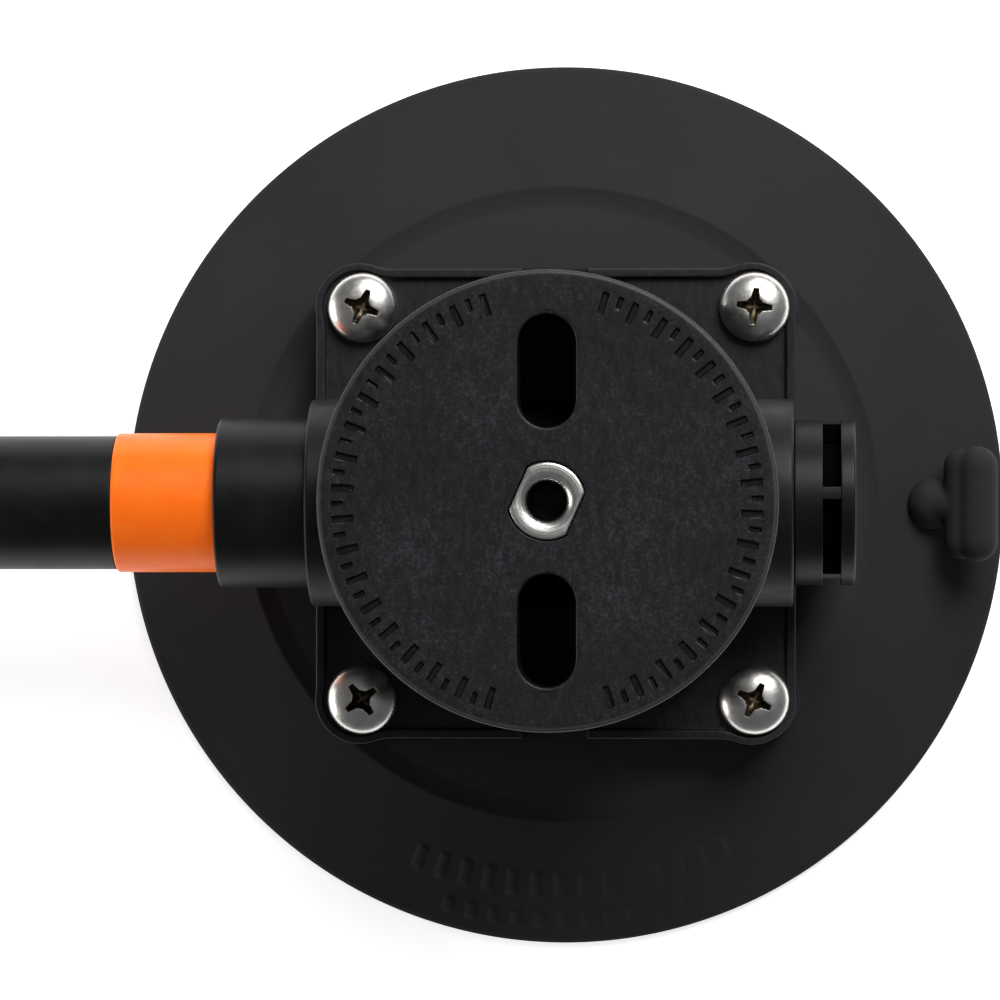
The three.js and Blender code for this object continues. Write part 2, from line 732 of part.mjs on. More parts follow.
const RUBBER = material(0x2c2c2e, 0.6);
const NYLON = material(0x27272a, 0.55);
const GRAINED_NYLON = material(0x303033, 0.6);
const ACETAL = material(0x1e1e21, 0.4);
const ORANGE = material(0xff6a0d, 0.4);
const STAINLESS = material(0xb8b2a8, 0.3, 1);
const ALUMINIUM = material(0xb0b2b5, 0.4, 1);
const SPRING_STEEL = material(0x8d8f92, 0.35, 1);
const SEAL_RUBBER = material(0x151516, 0.7);
const FELT = material(0xd8d4c8, 0.95);

const assembly = new THREE.Group();

function place(name, solid, finish) {
  const mesh = new THREE.Mesh(toGeometry(solid), finish);
  mesh.name = name;
  assembly.add(mesh);
}

place("vacuum_pad", vacuumPad(), RUBBER);
place("release_tab", releaseTab(), RUBBER);
place("backing_plate", backingPlate(), ALUMINIUM);
place("port_filter", portFilter(), FELT);
place("valve_plate", valvePlate(), NYLON);
place("inlet_valve", inletValve(), SEAL_RUBBER);
place("port_seal", portSeal(), SEAL_RUBBER);
place("pump_housing", pumpHousing(), NYLON);
place("mount_plate", mountPlate(), GRAINED_NYLON);
place("threaded_insert", threadedInsert(), STAINLESS);
SCREWS.forEach((_, i) => place(`housing_screw_${i + 1}`, housingScrew(i), STAINLESS));
place("pump_barrel", pumpBarrel(), ACETAL);
BARREL_SEAL_XS.forEach((x, i) => place(`barrel_seal_${i + 1}`, barrelSeal(x), SEAL_RUBBER));
place("guide_bush", guideBush(), ACETAL);
place("retaining_ring", retainingRing(), SPRING_STEEL);
place("exhaust_valve", exhaustValve(), SEAL_RUBBER);
place("vent_cap", ventCap(), ACETAL);
place("plunger", plunger(), ACETAL);
place("indicator_band", indicatorBand(), ORANGE);
place("piston_seal", pistonSeal(), SEAL_RUBBER);
place("plunger_spring", plungerSpring(), SPRING_STEEL);

export default assembly;
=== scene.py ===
# The looks of a hand-pumped vacuum suction cup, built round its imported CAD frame.
# Shapes are written in millimetres and become metres when a piece is made.
# The pump lies along X at the height axis_z; the plunger comes out towards -X.
import math

import bpy
from mathutils import Matrix, Vector, noise
from mathutils.geometry import tessellate_polygon


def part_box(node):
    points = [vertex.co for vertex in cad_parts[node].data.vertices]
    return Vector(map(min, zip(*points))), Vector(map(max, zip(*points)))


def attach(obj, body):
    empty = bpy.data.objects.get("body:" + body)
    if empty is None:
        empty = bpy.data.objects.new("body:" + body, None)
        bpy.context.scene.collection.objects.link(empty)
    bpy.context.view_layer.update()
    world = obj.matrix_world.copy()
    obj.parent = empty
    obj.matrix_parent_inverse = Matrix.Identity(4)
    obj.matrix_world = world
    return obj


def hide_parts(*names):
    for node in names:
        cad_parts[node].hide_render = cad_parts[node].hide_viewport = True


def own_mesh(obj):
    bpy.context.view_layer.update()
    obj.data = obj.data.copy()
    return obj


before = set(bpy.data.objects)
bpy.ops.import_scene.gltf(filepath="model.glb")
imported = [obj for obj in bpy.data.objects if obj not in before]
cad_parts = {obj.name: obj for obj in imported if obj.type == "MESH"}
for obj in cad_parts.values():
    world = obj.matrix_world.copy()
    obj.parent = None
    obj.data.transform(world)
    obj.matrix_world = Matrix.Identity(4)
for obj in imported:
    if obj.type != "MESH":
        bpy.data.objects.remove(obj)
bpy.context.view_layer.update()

MM = 0.001
TAU = 2 * math.pi


# ---- Sizes read from the frame, in millimetres ----


def low(node):
    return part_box(node)[0] / MM


def high(node):
    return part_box(node)[1] / MM


def ends(node):
    return low(node).x, high(node).x


def radius(node):
    return (high(node).z - low(node).z) / 2


axis_z = (high("plunger").z + low("plunger").z) / 2
pad_r = high("vacuum_pad").x
hub_z = high("vacuum_pad").z
port_x = (high("inlet_valve").x + low("inlet_valve").x) / 2
plate_top = high("mount_plate").z
plate_bottom = low("mount_plate").z
plate_r = high("mount_plate").x
lobe_edge = high("pump_housing").x
housing_bottom = low("pump_housing").z
housing_top = high("pump_housing").z
screw_xy = (high("housing_screw_2").x + low("housing_screw_2").x) / 2
head_r = (high("housing_screw_2").x - low("housing_screw_2").x) / 2
head_top = high("housing_screw_2").z

# ---- Shapes ----


def upright(u, v, w):
    return (u, v, w)


def along_x(u, v, w):
    return (w, u, v + axis_z)


def at(x, y):
    """Places a shape upright at x, y."""
    return lambda u, v, w: (x + u, y + v, w)


class Shell:
    """Gathers the points and faces of one piece."""

    def __init__(self):
        self.points = []
        self.faces = []

    def ring(self, points):
        start = len(self.points)
        self.points.extend(points)
        return list(range(start, len(self.points)))

    def bridge(self, a, b, around=True):
        n = len(a)
        for i in range(n if around else n - 1):
            j = (i + 1) % n
            self.faces.append((a[i], a[j], b[j], b[i]))

    def chain(self, rings, around=True):
        for a, b in zip(rings, rings[1:]):
            self.bridge(a, b, around)

    def fan(self, ring, tip, flip=False):
        for i in range(len(ring)):
            j = (i + 1) % len(ring)
            self.faces.append((ring[j], ring[i], tip) if flip else (ring[i], ring[j], tip))

    def cap(self, loops, outlines, upward):
        """Fills between loops: the first is the outer one and the rest are holes."""
        flat = [i for loop in loops for i in loop]
        corners = [p for outline in outlines for p in outline]
        for tri in tessellate_polygon([[Vector((u, v, 0)) for u, v in o] for o in outlines]):
            a, b, c = (flat[i] for i in tri)
            pa, pb, pc = (corners[i] for i in tri)
            area = (pb[0] - pa[0]) * (pc[1] - pa[1]) - (pb[1] - pa[1]) * (pc[0] - pa[0])
            if abs(area) > 1e-9:
                self.faces.append((a, b, c) if (area > 0) == upward else (a, c, b))

    def object(self, name):
        mesh = bpy.data.meshes.new(name)
        mesh.from_pydata([Vector(p) * MM for p in self.points], [], self.faces)
        mesh.validate()
        return add_object(name, mesh)

    def piece(self, name, material, body, replaces, sharp=38):
        """Makes the piece that stands in for the CAD nodes in replaces."""
        obj = self.object(name)
        obj.data.polygons.foreach_set("use_smooth", [True] * len(obj.data.polygons))
        obj.data.set_sharp_from_angle(angle=math.radians(sharp))
        shade_evenly(obj)
        obj.data.materials.append(material)
        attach(obj, body)
        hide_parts(*replaces)
        return obj


def add_object(name, data):
    obj = bpy.data.objects.new(name, data)
    bpy.context.scene.collection.objects.link(obj)
    return obj


def shade_evenly(obj):
    normals = obj.modifiers.new("Even shading", "WEIGHTED_NORMAL")
    normals.keep_sharp = True


def turns(count, start=0.0, end=TAU):
    return [start + (end - start) * i / count for i in range(count)]


def polar(r, angles):
    """Points at radius r on the given angles."""
    return [(r * math.cos(a), r * math.sin(a)) for a in angles]


def circle(r, count=96, x=0.0, y=0.0):
    return [(x + r * math.cos(a), y + r * math.sin(a)) for a in turns(count)]


def rounded(corners, steps=4, closed=False):
    """A profile whose corners (a, b, radius) are rounded by arcs."""
    out = []
    n = len(corners)
    for i, (a, b, *rest) in enumerate(corners):
        r = rest[0] if rest else 0
        if r == 0 or (not closed and i in (0, n - 1)):
            out.append((a, b))
            continue
        here = Vector((a, b))
        before = Vector(corners[i - 1][:2]) - here
        after = Vector(corners[(i + 1) % n][:2]) - here
        half = before.angle(after) / 2
        reach = min(r / math.tan(half), before.length * 0.49, after.length * 0.49)
        start = here + before.normalized() * reach
        end = here + after.normalized() * reach
        for k in range(steps + 1):
            t = k / steps
            p = start.lerp(here, t).lerp(here.lerp(end, t), t)
            out.append((p.x, p.y))
    return out


def revolve(shell, profile, place=upright, angles=None, closed=False, lift=None):
    """Turns a profile of (radius, w) points. lift(r, w, turn) moves a point along the axis."""
    angles = angles or turns(128)
    rings = []
    for r, w in profile:
        if r < 1e-6:
            rings.append(shell.ring([place(0, 0, w)]))
            continue
        points = []
        for a in angles:
            dw = lift(r, w, a) if lift else 0
            points.append(place(r * math.cos(a), r * math.sin(a), w + dw))
        rings.append(shell.ring(points))
    pairs = list(zip(rings, rings[1:])) + ([(rings[-1], rings[0])] if closed else [])
    for a, b in pairs:
        if len(a) == 1:
            shell.fan(b, a[0], flip=True)
        elif len(b) == 1:
            shell.fan(a, b[0])
        else:
            shell.bridge(a, b)


def area_of(loop):
    return sum(p[0] * q[1] - q[0] * p[1] for p, q in zip(loop, loop[1:] + loop[:1])) / 2


def inset(loop, d):
    """Moves a loop's points to its left by d: into the material, for a ccw outline or a cw hole."""
    out = []
    n = len(loop)
    for i in range(n):
        here = Vector(loop[i])
        a = (here - Vector(loop[i - 1])).normalized()
        b = (Vector(loop[(i + 1) % n]) - here).normalized()
        na, nb = Vector((-a.y, a.x)), Vector((-b.y, b.x))
        mid = (na + nb).normalized()
        p = here + mid * d / max(0.5, mid.dot(na))
        out.append((p.x, p.y))
    return out


FLAT_MARGIN = 0.12  # a narrow flat strip inside each rounded edge, which keeps the shading even


def prism(shell, outlines, w0, w1, f0, f1, place=upright, steps=3):
    """Stands outlines up between w0 and w1, with edges rounded by f0 below and f1 above."""
    loops = []
    for i, outline in enumerate(outlines):
        ccw = area_of(outline) > 0
        loops.append(outline if ccw == (i == 0) else outline[::-1])
    levels = [(f0 + FLAT_MARGIN, w0)]
    for k in range(steps + 1):
        a = math.pi / 2 * k / steps
        levels.append((f0 * (1 - math.sin(a)), w0 + f0 * (1 - math.cos(a))))
    for k in range(steps + 1):
        a = math.pi / 2 * k / steps
        levels.append((f1 * (1 - math.cos(a)), w1 - f1 * (1 - math.sin(a))))
    levels.append((f1 + FLAT_MARGIN, w1))
    ends = {0: [], len(levels) - 1: []}
    for loop in loops:
        last = None
        for k, (d, w) in enumerate(levels):
            flat = inset(loop, d) if d > 1e-6 else loop
            ring = shell.ring([place(u, v, w) for u, v in flat])
            if last:
                shell.bridge(last, ring)
            last = ring
            if k in ends:
                ends[k].append((ring, flat))
    for k, upward in ((0, False), (len(levels) - 1, True)):
        shell.cap([r for r, _ in ends[k]], [o for _, o in ends[k]], upward)


def arc(x, y, r, start, end, steps):
    """Points along an arc between two angles in degrees."""
    out = []
    for i in range(steps + 1):
        a = math.radians(start + (end - start) * i / steps)
        out.append((x + r * math.cos(a), y + r * math.sin(a)))
    return out


def lobed_square(half_x, half_y, lobe_r, stops=(), steps=18):
    """Four straight sides that run smoothly into a round lobe about each screw.

    stops are extra points along each side, measured from its middle.
    """
    halves = (half_x, half_y)
    out = []
    for corner in range(4):
        turn = Matrix.Rotation(math.radians(90 * corner), 2)
        before, after = halves[corner % 2] - screw_xy, halves[(corner + 1) % 2] - screw_xy
        start, sweep_in = lobe_fillet(before, lobe_r)
        end, sweep_out = lobe_fillet(after, lobe_r)
        side = [(x + screw_xy, y + screw_xy) for x, y in sweep_in]
        side += arc(screw_xy, screw_xy, lobe_r, -start, 90 + end, steps)
        side += [(y + screw_xy, x + screw_xy) for x, y in sweep_out[::-1]]
        side += [(-s, halves[(corner + 1) % 2]) for s in stops]
        out += [tuple(turn @ Vector(p)) for p in side]
    return out


def lobe_fillet(half, lobe_r, steps=6):
    """Where a lobe at the origin starts, and the hollow curve to it from the side x = half."""
    cosine = (half + LOBE_FILLET) / (lobe_r + LOBE_FILLET)
    if cosine >= 1:
        return 0.0, []
    reach = math.degrees(math.acos(cosine))
    drop = (lobe_r + LOBE_FILLET) * math.sin(math.radians(reach))
    curve = arc(half + LOBE_FILLET, -drop, LOBE_FILLET, 180, 180 - reach, steps)
    return reach, curve[:-1]


def stadium(half_w, near, far, steps=16):
    """A slot with round ends, along Y from near to far."""
    return arc(0, far - half_w, half_w, 0, 180, steps) + arc(0, near + half_w, half_w, 180, 360, steps)


def slab_between(x0, x1, y0, y1, r):
    """A rectangle with rounded corners."""
    return (
        arc(x1 - r, y1 - r, r, 0, 90, 5)
        + arc(x0 + r, y1 - r, r, 90, 180, 5)
        + arc(x0 + r, y0 + r, r, 180, 270, 5)
        + arc(x1 - r, y0 + r, r, 270, 360, 5)
    )


# ---- Sizes that the shapes and the materials share, in millimetres ----

CREST_R = 54.6  # where the pad's flange meets its level middle
DISH_R = 51.2  # lowest line of the groove inside the crest
DISH_DEPTH = 0.3
RIM_TOP = 23.2  # top of the rim round the housing's tray
ENGRAVING = 0.4  # depth at which the painted shade in the engraved scale is full
SCALE_REACH = (35.8, 36.4)  # the scale's painted shade fades out between these radii

# ---- Materials ----


class Finish:
    """A material of procedural nodes around one Principled shader."""

    def __init__(self, name, **sockets):
        self.material = bpy.data.materials.new(name)
        self.material.use_nodes = True
        self.tree = self.material.node_tree
        self.shader = self.tree.nodes["Principled BSDF"]
        for key, value in sockets.items():
            self.shader.inputs[key.replace("_", " ")].default_value = value
        coords = self.tree.nodes.new("ShaderNodeTexCoord")
        scale = self.tree.nodes.new("ShaderNodeVectorMath")
        scale.operation = "SCALE"
        scale.inputs["Scale"].default_value = 1 / MM
        self.tree.links.new(coords.outputs["Object"], scale.inputs[0])
        self.place = scale.outputs[0]

    def node(self, kind, inputs=(), **values):
        made = self.tree.nodes.new(kind)
        for key, value in values.items():
            setattr(made, key, value)
        for key, value in dict(inputs).items():
            made.inputs[key].default_value = value
        return made

    def link(self, a, b):
        self.tree.links.new(a, b)

    def noise(self, size, detail=4.0, roughness=0.55, stretch=None):
        """Noise whose features are about size millimetres across."""
        source = self.place
        if stretch:
            mapping = self.node("ShaderNodeMapping", {"Scale": stretch[0], "Rotation": stretch[1]})
            self.link(source, mapping.inputs["Vector"])
            source = mapping.outputs[0]
        values = {"Scale": 1 / size, "Detail": detail, "Roughness": roughness}
        made = self.node("ShaderNodeTexNoise", values)
        self.link(source, made.inputs["Vector"])
        return made.outputs["Fac"]

    def ramp(self, source, *stops):
        """Maps a value through stops of (position, colour or grey)."""
        made = self.node("ShaderNodeValToRGB")
        elements = made.color_ramp.elements
        while len(elements) < len(stops):
            elements.new(0.5)
        for element, (position, value) in zip(elements, stops):
            grey = isinstance(value, (int, float))
            element.position = position
            element.color = (value, value, value, 1) if grey else (*value, 1)
        self.link(source, made.inputs["Fac"])
        return made.outputs["Color"]

    def mix(self, factor, a, b, blend="MIX"):
        made = self.node("ShaderNodeMix", data_type="RGBA", blend_type=blend)
        for socket, value in ((made.inputs[0], factor), (made.inputs[6], a), (made.inputs[7], b)):
            if isinstance(value, bpy.types.NodeSocket):
                self.link(value, socket)
            elif isinstance(value, (int, float)):
                socket.default_value = value
            else:
                socket.default_value = (*value, 1)
        return made.outputs[2]

    def reach(self):
        """Distance from the Z axis, in millimetres."""
        flat = self.node("ShaderNodeVectorMath", operation="MULTIPLY")
        flat.inputs[1].default_value = (1, 1, 0)
        self.link(self.place, flat.inputs[0])
        length = self.node("ShaderNodeVectorMath", operation="LENGTH")
        self.link(flat.outputs[0], length.inputs[0])
        return length.outputs["Value"]

    def height(self):
        """Height above the pad's foot, in millimetres."""
        split = self.node("ShaderNodeSeparateXYZ")
        self.link(self.place, split.inputs[0])
        return split.outputs["Z"]

    def larger(self, a, b):
        made = self.node("ShaderNodeMath", operation="MAXIMUM")
        self.link(a, made.inputs[0])
        self.link(b, made.inputs[1])
        return made.outputs[0]

    def between(self, source, low_end, high_end):
        """Maps low_end..high_end to 0..1."""
        made = self.node("ShaderNodeMapRange", {"From Min": low_end, "From Max": high_end})
        self.link(source, made.inputs["Value"])
        return made.outputs["Result"]

    def bump(self, *layers):
        """Adds bumps: each layer is (height source, depth in millimetres)."""
        normal = None
        for source, depth in layers:
            made = self.node("ShaderNodeBump", {"Distance": depth * MM, "Strength": 1.0})
            self.link(source, made.inputs["Height"])
            if normal:
                self.link(normal, made.inputs["Normal"])
            normal = made.outputs["Normal"]
        self.link(normal, self.shader.inputs["Normal"])

    def set(self, socket, source):
        self.link(source, self.shader.inputs[socket])

    def colour(self, source, dark, light, start=0.3, end=0.7):
        self.set("Base Color", self.ramp(source, (start, dark), (end, light)))

    def roughness(self, source, smooth, rough, start=0.3, end=0.7):
        self.set("Roughness", self.ramp(source, (start, smooth), (end, rough)))


def pad_rubber():
    dark, light = (0.021, 0.0206, 0.0234), (0.026, 0.0253, 0.0288)
    middle, paler_tone = (0.034, 0.0332, 0.037), (0.04, 0.039, 0.038)
    f = Finish("pad_rubber", Roughness=0.75, Specular_IOR_Level=0.15)
    cloud = f.noise(22.0, 3.0)
    fine = f.noise(1.6, 6.0, 0.65)
    base = f.ramp(cloud, (0.3, dark), (0.7, light))
    # Painted light: the level middle inside the crest is mixed towards a lighter tone; the paler tone
    # below is for the dust specks
    painted_plateau_light = f.ramp(f.between(f.reach(), CREST_R, DISH_R), (0.0, 0.0), (1.0, 1.0))
    base = f.mix(painted_plateau_light, base, middle)
    dust = f.ramp(f.noise(0.9, 8.0, 0.7), (0.62, 0.0), (0.8, 0.3))
    f.set("Base Color", f.mix(dust, base, paler_tone))
    f.roughness(f.mix(0.5, cloud, fine), 0.7, 0.8)
    f.bump((f.noise(0.5, 5.0, 0.6), 0.012), (f.noise(9.0, 2.0), 0.08))
    return f.material


def housing_nylon():
    """Glass-filled nylon, lighter in the tray than above its rim, as painted light."""
    above_rim_dark, above_rim_light = (0.0062, 0.0061, 0.0072), (0.0128, 0.0126, 0.0148)
    painted_lit_tray_dark, painted_lit_tray_light = (0.0135, 0.0133, 0.0155), (0.029, 0.0285, 0.0325)
    painted_light_fades_over = 5
    f = Finish("housing_nylon", Roughness=0.5, Specular_IOR_Level=0.22)
    fibres = f.noise(1.1, 6.0, 0.7, stretch=((1, 0.35, 1), (0, 0, 0.6)))
    above_rim = f.ramp(fibres, (0.35, above_rim_dark), (0.75, above_rim_light))
    paler_tone = f.ramp(fibres, (0.35, painted_lit_tray_dark), (0.75, painted_lit_tray_light))
    # Painted light: the tray below the rim top takes the lighter copy of the tone, and the parts above it
    # the darker one
    base = f.mix(f.between(f.height(), RIM_TOP, RIM_TOP + painted_light_fades_over), paler_tone, above_rim)
    f.set("Base Color", base)
    f.roughness(f.noise(3.0, 5.0), 0.36, 0.52, 0.3, 0.75)
    f.bump((fibres, 0.014), (f.noise(0.35, 3.0), 0.005))
    return f.material


def plate_nylon():
    """Glass-filled nylon with a lighter rim, which is wear and a painted highlight, and with painted shade
    in its engraved scale.
    """
    dark, medium, light = (0.0062, 0.006, 0.0076), (0.0118, 0.0114, 0.014), (0.040, 0.039, 0.046)
    engraved_painted_shade, wear_and_highlight_tone = (0.002, 0.002, 0.0025), (0.075, 0.075, 0.08)
    wear_and_highlight_width, face_margin = 0.9, 0.05
    f = Finish("plate_nylon", Roughness=0.5, Specular_IOR_Level=0.28)
    flow = f.noise(1.2, 8.0, 0.75, stretch=((1, 0.45, 1), (0, 0, 0.9)))
    flecks = f.noise(0.55, 4.0, 0.6)
    cloud = f.noise(12.0, 3.0)
    tone = f.mix(0.22, f.mix(0.6, flow, flecks), cloud)
    base = f.ramp(tone, (0.38, dark), (0.52, medium), (0.66, light))
    # The rim is painted lighter all round: wear and a painted edge highlight
    worn_edge_and_highlight = f.ramp(f.between(f.reach(), plate_r - wear_and_highlight_width, plate_r), (0.0, 0.0), (0.4, 0.55), (0.98, 0.0))
    # Painted shade: the floors of the engraved lines take a near-black tone
    face = f.between(f.height(), plate_top - ENGRAVING, plate_top - face_margin)
    kept = f.larger(face, f.between(f.reach(), *SCALE_REACH))
    base = f.mix(kept, engraved_painted_shade, base)
    f.set("Base Color", f.mix(worn_edge_and_highlight, base, wear_and_highlight_tone))
    f.roughness(flow, 0.38, 0.58, 0.35, 0.7)
    f.bump((flow, 0.02), (flecks, 0.01))
    return f.material


def pump_acetal():
    dark, light = (0.0042, 0.0042, 0.0048), (0.008, 0.008, 0.009)
    f = Finish("pump_acetal", Roughness=0.4, Specular_IOR_Level=0.2)
    cloud = f.noise(7.0, 4.0)
    lines = f.noise(0.7, 5.0, 0.7, stretch=((4, 1, 1), (0, 0, 0)))
    f.colour(cloud, dark, light)
    f.roughness(f.mix(0.6, lines, cloud), 0.34, 0.48)
    f.bump((lines, 0.004), (f.noise(2.5, 3.0), 0.012))
    return f.material


def band_orange():
    deep, bright, painted_glow = (0.95, 0.15, 0.006), (1.0, 0.19, 0.01), (1.0, 0.13, 0.006, 1)
    # Emission makes the band glow faintly: painted light that brightens the orange
    f = Finish("band_orange", Roughness=0.5, Specular_IOR_Level=0.25, Subsurface_Weight=0.3,
               Subsurface_Scale=0.004, Emission_Color=painted_glow, Emission_Strength=0.24)
    f.colour(f.noise(5.0, 4.0), deep, bright)
    f.roughness(f.noise(1.2, 5.0), 0.3, 0.46)
    f.bump((f.noise(0.9, 4.0), 0.005))
    return f.material


def stainless():
    dark, light = (0.76, 0.73, 0.69), (0.88, 0.855, 0.82)
    f = Finish("stainless", Metallic=1.0, Roughness=0.22)
    f.colour(f.noise(2.0, 4.0), dark, light)
    f.roughness(f.noise(0.8, 5.0), 0.27, 0.36)
    f.bump((f.noise(0.5, 4.0), 0.002))
    return f.material


def turned_stainless():
    """Stainless with the rings that a lathe tool leaves about Z."""
    dark, light = (0.78, 0.765, 0.72), (0.90, 0.885, 0.84)
    f = Finish("turned_stainless", Metallic=1.0, Roughness=0.25)
    rings = f.node("ShaderNodeTexNoise", {"Scale": 5.0, "Detail": 4.0}, noise_dimensions="1D")
    f.link(f.reach(), rings.inputs["W"])
    f.colour(f.noise(1.5, 3.0), dark, light)
    f.roughness(rings.outputs["Fac"], 0.2, 0.4)
    f.bump((rings.outputs["Fac"], 0.02))
    return f.material


def bare_metal(name, dark, bright, rough):
    """Metal with a fine grain drawn out along X."""
    f = Finish(name, Metallic=1.0, Roughness=rough)
    grain = f.noise(0.9, 5.0, 0.6, stretch=((0.2, 3, 3), (0, 0, 0)))
    f.colour(grain, dark, bright)
    f.roughness(grain, rough - 0.06, rough + 0.12)
    f.bump((grain, 0.006))
    return f.material


def seal_rubber():
    dark, light = (0.006, 0.006, 0.006), (0.012, 0.012, 0.012)
    f = Finish("seal_rubber", Roughness=0.5)
    cloud = f.noise(1.5, 4.0)
    f.colour(cloud, dark, light)
    f.roughness(cloud, 0.42, 0.6)
    f.bump((f.noise(0.4, 3.0), 0.006))
    return f.material


def stained(name, grain, dark, light, smooth, rough, depth, start=0.3, **sockets):
    """A finish whose tone, roughness and relief all follow one noise."""
    f = Finish(name, **sockets)
    stain = f.noise(*grain)
    f.colour(stain, dark, light, start)
    f.roughness(stain, smooth, rough)
    f.bump((stain, depth))
    return f.material


def recess_steel():
    """The punched recess of a screw: dull, with dark residue and painted shade."""
    residue_and_shade, metal = (0.03, 0.022, 0.014), (0.30, 0.24, 0.15)
    return stained("recess_steel", (0.8, 4.0), residue_and_shade, metal, 0.38, 0.6, 0.01, 0.35,
                   Metallic=1.0, Roughness=0.45)


def cavity_black():
    """Painted shade: a near black for the unlit hollows behind the vent's windows and in the insert's
    thread.
    """
    dark, light = (0.0008, 0.0008, 0.0008), (0.0022, 0.0022, 0.0022)
    return stained("cavity_black", (1.2, 4.0), dark, light, 0.8, 0.95, 0.01,
                   Roughness=0.9, Specular_IOR_Level=0.02)


def filter_felt():
    dark, light = (0.5, 0.48, 0.43), (0.8, 0.78, 0.72)
    return stained("filter_felt", (0.25, 8.0, 0.8), dark, light, 0.85, 1.0, 0.15, Roughness=0.95)


RUBBER = pad_rubber()
NYLON = housing_nylon()
PLATE = plate_nylon()
ACETAL = pump_acetal()
ORANGE = band_orange()
STAINLESS = stainless()
TURNED = turned_stainless()
RECESS = recess_steel()
ALUMINIUM = bare_metal("backing_aluminium", (0.52, 0.53, 0.54), (0.66, 0.67, 0.68), 0.38)
SPRING_STEEL = bare_metal("spring_steel", (0.30, 0.30, 0.31), (0.45, 0.45, 0.45), 0.3)
SEAL = seal_rubber()
CAVITY = cavity_black()
FELT = filter_felt()

# ---- Pad ----

RIM_H = 1.6
FLANGE_FOOT = (75.6, 2.2)
HUB_R = 43.0  # where the groove ends and the level middle starts
ROOF_Z = 5.0
ROOF_R = 54.0
BOSS_R = 10.5
BOSS_FOOT_R = 12.5
BOSS_Z = low("vacuum_pad").z + 0.6
LIP_R = 71.5
PORT_R = 5.0
FILTER_WELL_R = 6.2
FILTER_GAP = 0.05

# The stepped underside of the sealing rim, out to the lip, as (radius, height, rounding)
RIM_UNDERSIDE = [
    (60.2, 3.9, 0.3), (60.6, 3.4, 0.2), (63.4, 3.0, 0.2), (63.8, 2.5, 0.2),
    (66.6, 2.2, 0.2), (67.0, 1.7, 0.2), (70.2, 1.2, 0.5), (LIP_R, 0.0, 0.4),
]

# Rows of plain raised bars: middle radius, length along it, first and last angle, and pitch in degrees
MARK_ROWS = ((65.8, 4.2, 248.0, 295.0, 3.6), (72.2, 2.4, 254.0, 286.0, 3.2))
MARK_HEIGHT = 0.3
MARK_HALF_W = 0.75
MARK_SOFTNESS = 0.9
MARK_MARGIN = 6  # degrees of finely divided flange on each side of the bars
MARKS_OUT = (75.2, 2.36)  # outer end of the finely divided part of the slope, as (radius, height)
MARKS_IN_R = 62.5
MARKS_STEP = 0.3

UNEVENNESS = 0.12
UNEVEN_OVER = 26


def smooth_step(x):
    x = min(1.0, max(0.0, x))
    return x * x * (3 - 2 * x)


def mark_height(r, turn):
    """How far up a bar the flange is at a point, from 0 to 1."""
    degrees = math.degrees(turn) % 360
    height = 0.0
    for middle, tall, start, end, pitch in MARK_ROWS:
        if not start - pitch < degrees < end + pitch:
            continue
        count = round((end - start) / pitch)
        index = min(count, max(0, round((degrees - start) / (end - start) * count)))
        here = start + (end - start) * index / count
        across = math.radians(degrees - here) * middle
        edge = min(tall / 2 - abs(r - middle), MARK_HALF_W - abs(across))
        height = max(height, smooth_step(edge / MARK_SOFTNESS + 0.5))
    return height


def pad_lift(r, w, turn):
    """Raised marks and the slight unevenness of moulded rubber."""
    if r < CREST_R or w < RIM_H:
        return 0.0
    spot = Vector((r * math.cos(turn), r * math.sin(turn), 0)) / UNEVEN_OVER
    sway = UNEVENNESS * noise.noise(spot) * smooth_step((r - CREST_R) / 4) * smooth_step((pad_r - r) / 3)
    return sway + MARK_HEIGHT * mark_height(r, turn)


def points_between(a, b, step):
    """Points from a to b, every step millimetres, without b."""
    a, b = Vector(a), Vector(b)
    count = max(1, round((b - a).length / step))
    return [tuple(a.lerp(b, i / count)) for i in range(count)]


